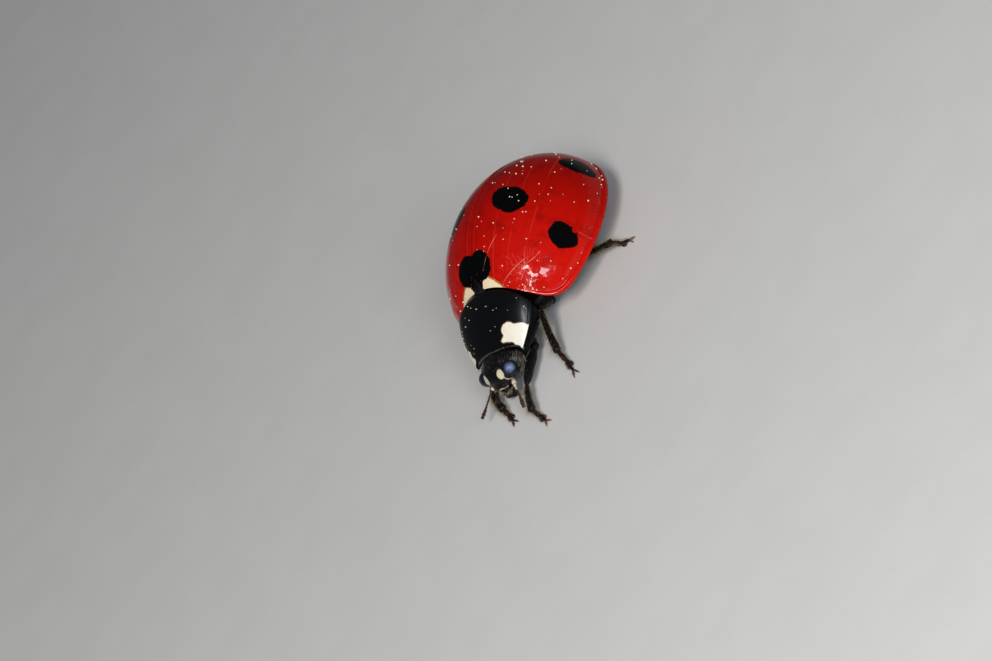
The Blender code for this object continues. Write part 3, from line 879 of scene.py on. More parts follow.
def dome(angle, reach, inset=0):
    """A point of the dome's left side: an oval of angle and reach, its height falling from top to rim."""
    size = np.where(np.cos(angle) > 0, DOME_FRONT, DOME_BACK) - inset
    out = reach * squared(angle)
    fall = np.maximum(0, 1 - np.minimum(reach, 1) ** DOME_POWER) ** (1 / DOME_POWER)
    return np.stack([(DOME_WIDTH - inset) * np.sin(angle) * out, DOME_APEX_Y - size * np.cos(angle) * out,
                     (DOME_HEIGHT - inset) * fall], -1)


def dome_normal(p, deep):
    """The direction out of the dome at a point: the slope of an oval with a given depth."""
    return unit((p - vec(0, DOME_APEX_Y, 0)) / vec(DOME_WIDTH, deep, DOME_HEIGHT) ** 2)


def spot_distance(p):
    """Distance to the nearest spot's edge: ovals in the plane that touches the dome, and the base spot."""
    nearest = np.full(p.shape[:-1], FAR)
    for middle, half_length, half_width, turn in SPOTS:
        q = p - middle
        normal = dome_normal(middle, DOME_BACK)
        down = unit(vec(normal[2], 0, -normal[0]))
        back = np.cross(normal, down)
        t = radians(turn)
        u = q @ (down * cos(t) + back * sin(t))
        v = q @ (back * cos(t) - down * sin(t))
        bearing = np.arctan2(v, u)
        wave = 1 + 0.04 * np.sin(3 * bearing + 4 * turn) + 0.03 * np.sin(5 * bearing + turn)
        oval = (np.hypot(u / half_length, v / half_width) - wave) * half_width
        nearest = np.minimum(nearest, np.maximum(oval, np.abs(q @ normal) - 0.9))
    nearest = np.maximum(nearest, BITE_RADIUS - np.linalg.norm(p - SPOT_BITE, axis=-1))
    x, y = np.abs(p[..., 0]), p[..., 1]
    lobe = (np.hypot((x - 0.28) / 0.43, (y - 0.60) / 0.42) - 1) * 0.42
    lobe = np.minimum(lobe, (np.hypot(x / 0.24, (y - 0.62) / 0.34) - 1) * 0.3)
    neck = np.maximum(x - (0.22 + 0.55 * np.maximum(y - 0.02, 0) ** 1.2), y - 0.55)
    return np.minimum(nearest, np.minimum(lobe, neck))


def pale_distance(p):
    """Distance to the edge of the cream patch beside the scutellum, on the surface's own two axes."""
    x = np.abs(p[..., 0])
    return polygon_distance(x, p[..., 1] - base_line(x), BASE_PATCH)


def scratch_offset(p, start, end, bow):
    """How far aside of a bowed line a surface point lies, signed; FAR beyond its ends or off its surface."""
    line = end - start
    normal = dome_normal((start + end) / 2, DOME_FRONT)
    t = ((p - start) @ line) / (line @ line)
    off = (p - start) @ unit(np.cross(line, normal)) - 4 * bow * t * (1 - t)
    return np.where((t > 0) & (t < 1) & (np.abs((p - start) @ normal) < 0.5), off, FAR)


def dents(p, waves):
    """Soft unevenness from -1 to 1: sines in three crossed directions, each bent by the next."""
    x, y, z = (p[..., k] * waves for k in range(3))
    return (np.sin(x + 1.3 * np.sin(0.71 * y + 0.6 * z)) * np.sin(0.83 * y + 1.1 * np.sin(0.9 * z + 0.57 * x))
            + 0.5 * np.sin(1.7 * z + 1.2 * np.sin(1.3 * x)))


def wing_relief(p, rim, free):
    """How far a wing case's surface is lifted: a gutter and bead at its rim, a knob, a crease and dents."""
    gutter = 0.030 * hump(rim, 0.185, 0.045) - 0.016 * smooth(0.17, 0.10, rim) * smooth(-0.01, 0.05, rim)
    knob = mound(p, KNOB, 0.11)
    near = mound(p, DENTED, 0.55)
    crease = hump(segment_distance(p, *CREASE), 0, 0.055)
    lift = -free * gutter + 0.012 * (1 - free) * hump(rim, 0, 0.05)
    return (lift - 0.0065 * crease + 0.022 * knob + dents(p, 5.2) * (0.0014 + 0.0085 * near)
            + dents(p, 14) * 0.0034 * near)


def seam_relief(seam, rim):
    """How far a wing case's surface sinks beside the seam: rounded off at it, then a ridge and a groove."""
    sunk = 0.030 * np.exp(-seam / 0.022) + 0.010 * hump(seam, 0.135, 0.028) - 0.006 * hump(seam, 0.07, 0.03)
    return sunk * smooth(0, 0.12, rim)


def wing_numbers(p, rim, side):
    """The numbers a wing case's material reads: distances to its marks and lines, and where it shines."""
    left = p * vec(side, 1, 1)
    across, back = np.abs(p[..., 0]), p[..., 1]
    width = DOME_WIDTH * np.sqrt(np.maximum(1e-3, 1 - (np.abs(back - DOME_APEX_Y) / 3.6) ** 2))
    numbers = {"spot": spot_distance(left), "pale": pale_distance(left), "rim": rim, "lane": across / width,
               "seam": across, "back": back, "worn": mound(left, WORN, 0.50),
               "polish": mound(left, POLISHED, 1.60)}
    for k, scratch in enumerate(SCRATCHES):
        numbers[f"scratch_{k}"] = scratch_offset(p, *scratch) if side > 0 else np.full(rim.shape, FAR)
    return numbers


def wing_case(side):
    """One wing case and its numbers: the dome, raised and sunk by its relief and folded under at its rim."""
    columns, rows, fold, notch_columns = 210, 130, 10, 10
    notch = atan2(SCUTELLUM_HALF_WIDTH, DOME_APEX_Y) * DOME_FRONT / DOME_WIDTH
    rest = columns - notch_columns
    spread = 0.6 * steps(rest) + 0.4 * np.linspace(0, 1, rest)
    angle = np.concatenate([np.linspace(0, notch, notch_columns, endpoint=False),
                            notch + (pi - notch) * spread])
    limit = reach_of(angle)
    v = np.linspace(0, 1, rows)
    v = 0.35 * v + 0.65 * (1 - (1 - v) ** 2)
    full = np.arcsin(np.minimum(limit, 1))[:, None]
    upper = dome(angle[:, None], np.sin(full * v))
    lower = dome(angle[:, None], np.sin(full * np.linspace(0, 1, rows + fold)), SHELL + 0.01)

    gaps = np.linalg.norm(np.diff(upper, axis=1), axis=-1)
    rim = np.concatenate([np.cumsum(gaps[:, ::-1], 1)[:, ::-1], np.zeros((columns, 1))], 1)
    normal = unit(np.cross(np.gradient(upper, axis=1), np.gradient(upper, axis=0)))
    normal *= np.sign(np.sum(normal * (upper - vec(0, DOME_APEX_Y, -0.5)), -1, keepdims=True) + 1e-9)
    normal = np.where(np.isfinite(normal), normal, 0)
    normal[:, 0] = (0, 0, 1)

    free = smooth(0.93, 0.985, limit)[:, None]
    lift, sunk = wing_relief(upper, rim, free), seam_relief(upper[..., 0], rim)
    away = np.stack([np.sin(angle), -np.cos(angle), 0 * angle], -1)[:, None]
    flare = free * RIM_LIP * np.exp(-rim / 0.16)
    upper = upper + normal * lift[..., None] + away * flare[..., None]
    upper = upper - normal * sunk[..., None] * vec(0, 1, 1)

    s = np.linspace(0, 1, fold + 1)[1:]
    inward = (dome(angle, limit, SHELL) - upper[:, -1])[:, None]
    under = upper[:, -1:] + inward * s[None, :, None] ** 1.15
    under[..., 2] += -0.035 * np.sin(pi * s ** 0.45)[None] * free + 0.03 * s[None]
    upper = np.concatenate([upper, under], 1)
    for grid in (upper, lower):
        grid[..., 0] = (grid[..., 0] + SEAM_SHIFT) * side
    numbers = wing_numbers(upper, np.concatenate([rim, np.zeros((columns, fold))], 1), side)
    return slab(upper, lower), {key: np.tile(row.ravel(), 2) for key, row in numbers.items()}


class LADYBIRD_OT_wing_cases(Operator):
    """Build both wing cases"""

    bl_idname = "ladybird.wing_cases"
    bl_label = "Wing cases"

    def execute(self, context):
        """Each wing case is the same dome, the right one mirrored and without the long scratches."""
        finish = material("wing_red", wing_finish)
        for word, side in SIDES:
            body, values = wing_case(side)
            make_piece("wing_case_" + word, body, finish, "elytra_red", ["elytron_" + word], values)
        return {"FINISHED"}


class LADYBIRD_OT_scutellum(Operator):
    """Build the plate between the wing cases"""

    bl_idname = "ladybird.scutellum"
    bl_label = "Scutellum"

    def execute(self, context):
        """A three-cornered sheet on the dome's curve, arched across and raised a little."""
        t, w = lattice(0, 1, 24, -1, 1, 25)
        x = (SCUTELLUM_HALF_WIDTH - 0.02) * w * (1 - t) ** 0.9
        y = -0.03 + (SCUTELLUM_LENGTH - 0.01) * t
        reach = (DOME_APEX_Y - y) / DOME_FRONT
        z = DOME_HEIGHT * (1 - reach ** DOME_POWER) ** (1 / DOME_POWER)
        upper = np.stack([x, y, z + 0.015 - 0.03 * w ** 2 * (1 - t)], -1)
        finish = material("scutellum_black", cuticle_finish, "black", (0.010, 0.008, 0.008), 0.25)
        body = slab(upper, upper - vec(0, 0, 0.22))
        make_piece("scutellum_plate", body, finish, "cuticle_black", ["scutellum"])
        return {"FINISHED"}


# ---------------------------------------------------------------- pronotum


def shield(across, forward):
    """The pronotum's surface: an arch across, narrowing and dropping forward, its front corners drawn out."""
    lean = pi / 2 * across
    f = np.clip(forward, 0, 1)
    hind_width, hind_crest, hind_margin = PRONOTUM_HIND
    front_width, front_crest, front_margin = PRONOTUM_FRONT
    width = hind_width - (hind_width - front_width) * f ** 1.8
    crest = hind_crest * (1 - f) + front_crest * f + 0.10 * np.sin(pi * f)
    margin = hind_margin * (1 - f) + front_margin * f
    x = width * np.sin(lean)
    z = margin + (crest - margin) * np.maximum(0, np.cos(lean)) ** 1.1
    hind = base_line(np.maximum(np.abs(x), SCUTELLUM_HALF_WIDTH)) - 0.03
    hind = hind - 0.10 * np.maximum(x, 0) ** 2 / hind_width
    neck = NECK_Y + (NECK_Z - z) * NECK_SLOPE + 0.02
    corner = -0.17 * np.abs(across) ** 5 + 0.05 * smooth(0.88, 1, np.abs(across)) ** 2
    return np.stack([x, hind * (1 - f) + (neck + corner) * f, z], -1)


class LADYBIRD_OT_pronotum(Operator):
    """Build the shield behind the head"""

    bl_idname = "ladybird.pronotum"
    bl_label = "Pronotum"

    def execute(self, context):
        """A domed sheet with a fine bead along its side margins, and the distance to its cream corners."""
        columns, rows = 221, 121
        across, forward = lattice(-pi / 2, pi / 2, columns, 0, 1, rows)
        across = 0.5 * np.sin(across) + 0.5 * np.linspace(-1, 1, columns)[:, None]
        side, front = (1 - np.abs(across)) * 1.55, (1 - forward) * 1.4
        margin = np.minimum(side, np.minimum(forward * 1.4, front))
        bead = 0.022 * hump(side, 0.03, 0.035) - 0.022 * hump(side, 0.11, 0.045)
        bead = bead * (1 - 0.8 * smooth(0.50, 0.62, forward)) + 0.010 * hump(front, 0.02, 0.03)
        lean = pi / 2 * across
        out = unit(np.stack([np.sin(lean), 0 * across, np.cos(lean) + 0.2], -1))
        upper = shield(across, forward) + out * (bead - 0.03 * np.exp(-margin / 0.02))[..., None]
        lower = upper - out * (0.05 + 0.22 * np.maximum(0, np.cos(lean)) ** 0.6)[..., None]
        wide, deep = SHIELD_MARK_SCALE
        outline = closed_curve([(a * wide, f * deep) for a, f in SHIELD_MARK])
        aside = np.where(across < 0, -across - SHIELD_MARK_SHIFT, across)
        pale = polygon_distance(aside * wide, forward * deep, outline)
        values = {"pale": np.concatenate([pale.ravel(), np.full(pale.size, NO_PATCH)])}
        finish = material("shield_black", shield_finish)
        make_piece("pronotum_shield", slab(upper, lower), finish, "pronotum_black", ["pronotum"], values)
        return {"FINISHED"}


# ---------------------------------------------------------------- head


def head_point(turn, tilt):
    """The head's surface: an oval flattened below, drawn forward into a clypeus, dented behind each eye."""
    p = sphere(tilt, turn)
    p = np.sign(p) * np.abs(p) ** vec(0.92, 1, 0.95)
    p = p * HEAD_SIZE
    p[..., 2] = np.where(p[..., 2] < 0, p[..., 2] * 0.80, p[..., 2])
    p[..., 0] *= 1 + 0.24 * smooth(-0.30, 0.10, p[..., 1])
    x, y, z = p[..., 0], p[..., 1], p[..., 2]
    middle = np.exp(-(x / 0.34) ** 4)
    y = y - 0.10 * (middle * hump(z, -0.16, 0.14) * smooth(-0.30, -0.52, y))
    z = z - 0.04 * middle * smooth(-0.40, -0.62, y)
    lobe = np.exp(-((np.abs(x) - 0.56) / 0.14) ** 2) * hump(z, 0.18, 0.20) * smooth(-0.05, -0.30, y)
    return np.stack([x + np.sign(x) * 0.06 * lobe, y - 0.07 * lobe, z + 0.03 * lobe], -1) + HEAD_CENTRE


def face_marks(p):
    """Distance to the cream marks: a spot inside each eye, the line under it and the clypeus's edge."""
    x, y, z = p[..., 0], p[..., 1], p[..., 2]
    q, near = (np.stack([np.abs(x + shift), y, z], -1) for shift in (0, 0.04))
    spot = (np.linalg.norm((near - FACE_SPOT) / FACE_SPOT_SIZE, axis=-1) - 1) * FACE_SPOT_SIZE[0]
    line = np.min([segment_distance(q, a, b) for a, b in zip(FACE_LINE, FACE_LINE[1:])], axis=0) - 0.011
    edge = segment_distance(q, *FACE_EDGE) - 0.022
    return np.minimum(np.minimum(spot, line), edge)


class LADYBIRD_OT_head(Operator):
    """Build the head capsule"""

    bl_idname = "ladybird.head"
    bl_label = "Head"

    def execute(self, context):
        """The head's surface as rings about its own axis, with the distance to its cream marks."""
        grid = head_point(circle(220)[None], np.linspace(0, pi, 150)[:, None])
        finish, values = material("head_black", head_finish), {"pale": face_marks(grid)}
        make_piece("head_capsule", rings(grid), finish, "cuticle_black", ["head"], values)
        return {"FINISHED"}


class LADYBIRD_OT_eyes(Operator):
    """Build both compound eyes"""

    bl_idname = "ladybird.eyes"
    bl_label = "Eyes"

    def execute(self, context):
        """Ovals set in the head's sides; their painted sheen, a painted reflection, grows towards one
        direction, weaker on the right.
        """
        finish = material("eye_blue_black", eye_finish)
        for word, side in SIDES:
            centre = EYE_CENTRE * vec(side, 1, 1)
            grid = sphere(np.linspace(0, pi, 60)[:, None], circle(90)[None]) * EYE_SIZE + centre
            # Painted sheen: strongest where the eye faces the camera and lamps.
            towards = unit(grid - centre) @ unit(EYE_SHEEN_FACING * vec(side, 1, 1))
            values = {"bloom": smooth(0.62, 1, towards) * EYE_PAINTED_SHEEN[word]}
            make_piece("compound_eye_" + word, rings(grid), finish, "eye_black", ["eye_" + word], values)
        return {"FINISHED"}


class LADYBIRD_OT_antennae(Operator):
    """Build both feelers"""

    bl_idname = "ladybird.antennae"
    bl_label = "Feelers"

    def execute(self, context):
        """Joints along a smooth curve, each widening forward: a scape, seven short ones, a club of three."""
        finish = material("feeler_brown", feeler_finish)
        sides, s = 16, steps(12)
        size = (0.80 + 0.30 * s) * ends(s, 0.30, 0.22)
        for word, points in FEELERS.items():
            bodies, along = [], []
            for start, end, width in zip(FEELER_ENDS, FEELER_ENDS[1:], FEELER_WIDTHS):
                t = start + (end - start) * s
                path = spline(points, np.clip(t - 0.01, 0, 1))
                bodies.append(tube(path, width * size, width * size * 0.92, sides))
                along.append(np.repeat(t, sides))
            along = np.concatenate(along)
            make_piece("feeler_" + word, joined(bodies), finish, "feeler_brown", ["antenna_" + word],
                       {"along": along, "bare": along - FEELER_PALE_AND_LIT[word]})
        return {"FINISHED"}


class LADYBIRD_OT_mouth(Operator):
    """Build the lip, jaws and mouth feelers"""

    bl_idname = "ladybird.mouth"
    bl_label = "Mouth"

    def execute(self, context):
        """A curved sheet for the upper lip; the lower lip, jaws and mouth feelers' joints are limbs."""
        black = material("mouth_black", cuticle_finish, (0.004, 0.0035, 0.0035), (0.016, 0.007, 0.005), 0.36)
        brown = material("mouth_brown", cuticle_finish, (0.004, 0.003, 0.003), (0.020, 0.008, 0.005), 0.38)
        w, t = lattice(-1, 1, 41, 0, 1, 21)
        upper = np.stack([0.19 * w * (1 - 0.25 * t ** 2), -2.480 + 0.01 * t + 0.07 * w ** 2,
                          -0.265 - 0.17 * t + 0.03 * t * w ** 2], -1)
        make_piece("upper_lip", slab(upper, upper + vec(0, 0.10, 0)), black, "cuticle_black", ["labrum"])
        lower = limb(*LOWER_LIP, 24, 20, level=(0, 0.4, 1))
        make_piece("lower_lip", lower, black, "cuticle_black")
        for word, side in SIDES:
            make_piece("jaw_" + word, limb(*JAW, side=side), brown, "feeler_brown", ["mandible_" + word])
            joints = [limb(points, stations, side=side, last=last) for points, stations, last in MOUTH_FEELER]
            nodes = ["maxillary_palp_" + word]
            make_piece("mouth_feeler_" + word, joined(joints), brown, "feeler_brown", nodes)
        return {"FINISHED"}


# ---------------------------------------------------------------- legs


def foot_bodies(ankle, toe):
    """The foot: a joint, a two-lobed one and a slender one; and two hooked claws, each with a tooth."""
    span = (toe - ankle) * vec(1, 1, 0)
    side = np.cross(unit(span), (0, 0, 1))

    def at(share, height, aside=0):
        """A point at a share of the way to the toe, at a height over the floor and so far aside."""
        return (ankle + span * share + side * aside) * vec(1, 1, 0) + vec(0, 0, FLOOR + height)

    foot = [limb([ankle, at(0.14, 0.17), at(0.33, 0.10)],
                 [(0, 0.065, 0.065), (0.6, 0.085, 0.075), (1, 0.09, 0.06)], 20, 20)]
    foot += [limb([at(0.30, 0.10), at(0.45, 0.065, 0.02 * turn), at(0.66, 0.035, 0.085 * turn)],
                  [(0, 0.05, 0.06), (0.5, 0.085, 0.06), (1, 0.075, 0.045)], 20, 20)
             for turn in (-1, 1)]
    foot.append(limb([at(0.46, 0.09), at(0.72, 0.115), at(0.96, 0.07)],
                     [(0, 0.030, 0.030), (0.5, 0.036, 0.036), (1, 0.052, 0.046)], 18, 20))
    claws = []
    for turn in (-1, 1):
        claws.append(limb([at(0.93, 0.07, 0.02 * turn), at(1.03, 0.085, 0.055 * turn),
                           at(1.12, 0.055, 0.09 * turn), at(1.17, 0.004, 0.11 * turn)],
                          [(0, 0.026, 0.030), (0.5, 0.020, 0.024), (1, 0.006, 0.006)], 12, 18))
        claws.append(limb([at(0.98, 0.07, 0.03 * turn), at(1.03, 0.045, 0.045 * turn),
                           at(1.06, 0.012, 0.055 * turn)], [(0, 0.020, 0.022), (1, 0.006, 0.006)], 10, 10))
    return foot, claws


def floored(bodies):
    """Bodies as one, with whatever lies below the floor pressed flat onto it."""
    points, faces = joined(bodies)
    points[:, 2] = np.maximum(points[:, 2], FLOOR)
    return points, faces


def leg_lines(name):
    """The points of a leg from root to toe, its thigh raised and its shin bowed a little at their middles."""
    hip, knee, ankle, toe = (np.array(p) for p in LEGS[name])
    pair, word = name.split("_")
    root = np.array(COXA_ROOTS[pair]) * vec(dict(SIDES)[word], 1, 1)
    mid_thigh = (hip + knee) / 2 + vec(0, 0, 0.03)
    mid_shin = (knee + ankle) / 2 + np.cross(unit(ankle - knee), (0, 0, 1)) * 0.04
    return root, hip, mid_thigh, knee, mid_shin, ankle, toe


class LADYBIRD_OT_legs(Operator):
    """Build all six legs"""

    bl_idname = "ladybird.legs"
    bl_label = "Legs"

    def execute(self, context):
        """Each leg: coxa and trochanter, thigh, shin, foot and claws as pieces of their own."""
        finish = material("leg_black", leg_finish)
        claw_finish = material("claw_brown", cuticle_finish, (0.06, 0.018, 0.008), (0.20, 0.08, 0.03), 0.25,
                               30000)
        for name in LEGS:
            root, hip, mid_thigh, knee, mid_shin, ankle, toe = leg_lines(name)
            span = knee - hip
            coxa = joined([
                limb([root, (root + hip) / 2, hip],
                     [(0, 0.16, 0.15), (0.5, 0.21, 0.19), (1, 0.14, 0.13)], 26, 24),
                limb([hip - span * 0.06, hip, hip + span * 0.14],
                     [(0, 0.11, 0.11), (0.5, 0.13, 0.12), (1, 0.10, 0.10)], 22, 16),
            ])
            thigh = limb([hip + span * 0.04, mid_thigh, knee + span * 0.03],
                         [(0, 0.11, 0.10), (0.35, 0.185, 0.14), (0.8, 0.15, 0.12), (1, 0.11, 0.10)],
                         30, 44)
            shin = limb([knee, mid_shin, ankle + (ankle - knee) * 0.02],
                        [(0, 0.064, 0.070), (0.12, 0.080, 0.078), (0.7, 0.115, 0.088), (1, 0.135, 0.10)],
                        26, 50, first=0.08, last=0.05)
            foot, claws = foot_bodies(ankle, toe)
            # Each piece's name, the solid it stands for, its body, its slot and how brown it is.
            for title, node, body, slot, brown in (
                ("hip_", "coxa_", coxa, "leg_black", 0),
                ("thigh_", "femur_", thigh, "leg_black", 0),
                ("shin_", "tibia_", shin, "leg_black", 0.06),
                ("foot_", "tarsus_", floored(foot), "feeler_brown", 0.38),
            ):
                make_piece(title + name, body, finish, slot, [node + name], {"brown": brown})
            make_piece("claws_" + name, floored(claws), claw_finish, "feeler_brown")
        return {"FINISHED"}


# ---------------------------------------------------------------- underside


def outline_width(y):
    """Half-width of the underside at a distance back: the dome's plan, set in from its rim."""
    ahead = y < DOME_APEX_Y
    size = np.where(ahead, DOME_FRONT, DOME_BACK) - BELLY_INSET
    power = np.where(ahead, DOME_SQUARENESS, 2)
    part = np.clip(np.abs(y - DOME_APEX_Y) / size, 0, 1)
    return (DOME_WIDTH - BELLY_INSET) * (1 - part ** power) ** (1 / power)


def belly_point(y, w):
    """The underside: deepest along the middle, rising to the rim, with cross grooves and a middle line."""
    width = outline_width(y)
    x = w * width
    out = np.clip(np.abs(x) / np.maximum(width, 1e-3), 0, 1)
    back = np.clip(np.abs(y - DOME_APEX_Y) / 3, 0, 1)
    z = BELLY * (1 - np.clip(np.hypot(out * 0.96, back * 0.92), 0, 1) ** 4) - 0.01
    for at in BELLY_GROOVES:
        bend = at - 0.10 * (x / 2) ** 2
        z = z + 0.030 * hump(y, bend, 0.030) - 0.012 * hump(y, bend - 0.07, 0.05)
    z = z + 0.022 * hump(x, 0, 0.02) * smooth(1.2, 1.3, y) * (1 - smooth(2.6, 2.7, y))
    return np.stack([x, y, z], -1)


class LADYBIRD_OT_underside(Operator):
    """Build the plates of the underside"""

    bl_idname = "ladybird.underside"
    bl_label = "Underside"

    def execute(self, context):
        """Three plates between cross lines, sculpted below, and the prosternum under the pronotum's arch."""
        finish = material("belly_black", belly_finish)
        for name, (front, back) in BELLY_PLATES.items():
            y, w = lattice(front, back, int((back - front) / 0.02), -1, 1, 161)
            lower = belly_point(y, w)
            pale = np.full(y.shape, NO_PATCH)
            if name == "mesosternum":
                (aside, half_width), (behind, half_length) = SIDE_PLATE
                pale = np.maximum(np.abs(np.abs(lower[..., 0]) - aside) - half_width,
                                  np.abs(y - behind) - half_length)
            upper = lower * vec(1, 1, 0) + vec(0, 0, BELLY_TOP)
            values = {"pale": np.concatenate([np.full(pale.size, NO_PATCH), pale.ravel()])}
            make_piece(name + "_plate", slab(upper, lower), finish, "sternum_black", [name], values)
        across, forward = lattice(-1, 1, 121, 0, 1, 81)
        roof = shield(across, forward)
        roof[..., 0] *= 0.86
        roof[..., 1] += 0.10 * (1 - forward)
        roof[..., 2] -= 0.10 + 0.15 * np.maximum(0, np.cos(pi / 2 * across)) ** 0.6
        under = roof.copy()
        out = np.abs(across) ** 4
        under[..., 2] = (BELLY + 0.03) * (1 - out) + (roof[..., 2] - 0.03) * out
        make_piece("prosternum_plate", slab(roof, under), finish, "sternum_black", ["prosternum"],
                   {"pale": NO_PATCH})
        return {"FINISHED"}


# ---------------------------------------------------------------- hairs and pollen


def hair_body(roots, aims, lengths, width, spots):
    """Many hairs at once: each a three-sided spike of four rings, bent as it leaves its root.

    Also returns each point's place on the baking map, a small patch at the hair's own spot.
    """
    count = len(roots)
    aims = unit(aims)
    side = unit(np.cross(aims, vec(0.31, 0.17, 0.93)))
    over = np.cross(side, aims)
    rows = []
    for s, taper in ((-0.05, 1), (0.40, 0.80), (0.78, 0.45), (1, 0)):
        centre = roots + aims * (lengths * s)[:, None] + side * (lengths * HAIR_DROOP * s * s)[:, None]
        rows.append(centre[:, None] + around(side[:, None], over[:, None], circle(3)[None]) * width * taper)
    tips = rows.pop()[:, :1]
    points = np.concatenate([np.stack(rows, 1).reshape(count, 9, 3), tips], 1)
    corners = [(a + 3 * r, (a + 1) % 3 + 3 * r) for r in range(2) for a in range(3)]
    fan = ([(a, b, b + 3) for a, b in corners] + [(a, b + 3, a + 3) for a, b in corners]
           + [(6 + a, 6 + (a + 1) % 3, 9) for a in range(3)] + [(2, 1, 0)])
    faces = (np.array(fan)[None] + 10 * np.arange(count)[:, None, None]).reshape(-1, 3)
    uv = spots[:, None] * 0.99 + np.array(HAIR_PATCH)[None] * 0.003
    return points.reshape(-1, 3), faces, uv.reshape(-1, 2)


def make_hairs(name, groups, finish, slot):
    """One coat piece from groups of hairs, with each hair's patch on the baking map at its root's place."""
    bodies = [hair_body(*group) for group in groups]
    piece = make_piece(name, outward(*joined([body[:2] for body in bodies])), finish, slot, weld=0)
    uv = np.concatenate([body[2] for body in bodies])
    layer = piece.data.uv_layers.new(name="OFBake")
    corners = np.empty(len(piece.data.loops), np.int32)
    piece.data.loops.foreach_get("vertex_index", corners)
    layer.data.foreach_set("uv", uv[corners].astype(np.float32).ravel())


def leg_hairs(rng, name, long, width):
    """Hairs along one leg: fringes on both sides of the shin, shorter ones on thigh and foot."""
    _, hip, mid_thigh, knee, mid_shin, ankle, toe = leg_lines(name)
    sole = vec(0, 0, -0.12)
    groups = []
    lane = list(LEGS).index(name) / len(LEGS)
    # Shin, thigh and foot: line, hairs, half-thickness, share of the length, first and last place, map row.
    for points, count, radius, share, low, high, part in (
        ((knee, mid_shin, ankle), 420, 0.095, 1, 0.06, 1, 0),
        ((hip, mid_thigh, knee), 70, 0.14, 0.6, 0.15, 0.98, 0.33),
        ((ankle, ankle + (toe - ankle) * 0.4 + sole, toe + sole), 150, 0.07, 0.55, 0.02, 0.8, 0.66),
    ):
        s = rng.uniform(low, high, count)
        along = unit(spline(points, np.minimum(s + 0.02, 1)) - spline(points, s - 0.02))
        side = unit(np.cross(along, (0, 0, 1)))
        turn = rng.uniform(0, 2 * pi, count)
        fringe = rng.uniform(0, 1, count) < 0.55
        edge = np.where(rng.uniform(0, 1, count) < 0.5, 0, pi) + rng.normal(0, 0.35, count)
        turn = np.where(fringe, edge, turn)
        out = around(side, np.cross(side, along), turn)
        roots = spline(points, s) + out * radius * 0.95
        roots[:, 2] = np.maximum(roots[:, 2], FLOOR + 0.01)
        aims = out * 0.75 + along * 0.80 + rng.normal(0, 0.12, (count, 3))
        low_tip = roots[:, 2] + unit(aims)[:, 2] * long * share < FLOOR + 0.02
        aims[:, 2] = np.where(low_tip, np.abs(aims[:, 2]) * 0.2, aims[:, 2])
        lengths = long * share * rng.uniform(0.6, 1.15, count)
        spots = np.stack([lane + 0.15 * (turn / (2 * pi) % 1), part + 0.31 * s], -1)
        groups.append((roots, aims, lengths, width, spots))
    return groups


def forehead_hairs(rng, long, width, count=110):
    """Hairs all over the head but for the eyes, combed down and forward."""
    turn, tilt = rng.uniform(0, 2 * pi, count), np.arccos(rng.uniform(-0.2, 0.98, count))
    roots = head_point(turn, tilt)
    keep = np.ones(count, bool)
    for _, side in SIDES:
        keep &= np.linalg.norm((roots - EYE_CENTRE * vec(side, 1, 1)) / (EYE_SIZE * 1.08), axis=1) > 1
    roots, turn, tilt = roots[keep], turn[keep], tilt[keep]
    aims = unit(roots - HEAD_CENTRE) * 0.8 + vec(0, -0.55, -0.35) + rng.normal(0, 0.15, roots.shape)
    spots = np.stack([turn / (2 * pi), tilt / pi * 0.5], -1)
    return roots, aims, long * rng.uniform(0.5, 1.1, len(roots)), width * 0.8, spots


def cheek_hairs(rng, long, width, count=340):
    """Longer hairs beside and under both eyes in turn, combed outward and forward."""
    side = np.where(np.arange(count) % 2, 1, -1)
    turn, tilt = rng.normal(0.05, 0.45, count), rng.uniform(0.40, 0.66, count) * pi
    roots = head_point(turn, tilt)
    aims = vec(0.55, -0.85, -0.25) + rng.normal(0, 0.18, roots.shape)
    flip = np.stack([side, np.ones(count), np.ones(count)], -1)
    keep = np.linalg.norm((roots - EYE_CENTRE) / (EYE_SIZE * 1.05), axis=1) > 1
    spots = np.stack([0.25 + side * 0.2 + turn * 0.03, 0.70 + tilt * 0.05], -1)
    lengths = long * rng.uniform(0.9, 1.6, count)
    return (roots * flip)[keep], (aims * flip)[keep], lengths[keep], width, spots[keep]


def collar_hairs(rng, long, width, count=260):
    """Short hairs along the pronotum's front edge, pointing forward."""
    across = rng.uniform(-0.98, 0.98, count)
    roots = shield(across, np.full(count, 0.995)) + vec(0, 0.02, -0.07)
    aims = vec(0, -1, -0.15) + rng.normal(0, 0.2, (count, 3))
    spots = np.stack([across * 0.49 + 0.5, np.full(count, 0.52)], -1)
    return roots, aims, long * rng.uniform(0.45, 0.8, count), width * 0.8, spots


def lip_hairs(rng, long, width, count=64):
    """Bristles of the upper lip, pointing forward and down."""
    x = rng.uniform(-0.30, 0.30, count)
    y = -2.40 - rng.uniform(0, 0.06, count) + 0.9 * x * x
    roots = np.stack([x, y, -0.34 - rng.uniform(0, 0.16, count)], -1)
    aims = x[:, None] * vec(0.8, 0, 0) + vec(0, -1, -0.7) + rng.normal(0, 0.25, (count, 3))
    spots = np.stack([x + 0.5, rng.uniform(0.56, 0.66, count)], -1)
    return roots, aims, long * rng.uniform(1, 2, count), width * 1.2, spots


def belly_hairs(rng, long, width, count=2200):
    """Hairs all over the underside, combed back and down."""
    y, w = rng.uniform(0, DOME_APEX_Y + DOME_BACK - 0.6, count), rng.uniform(-0.97, 0.97, count)
    aims = vec(0, 0.95, -0.45) + rng.normal(0, 0.2, (count, 3))
    spots = np.stack([w * 0.49 + 0.5, y / 7], -1)
    return belly_point(y, w), aims, long * rng.uniform(0.5, 1, count), width * 0.6, spots


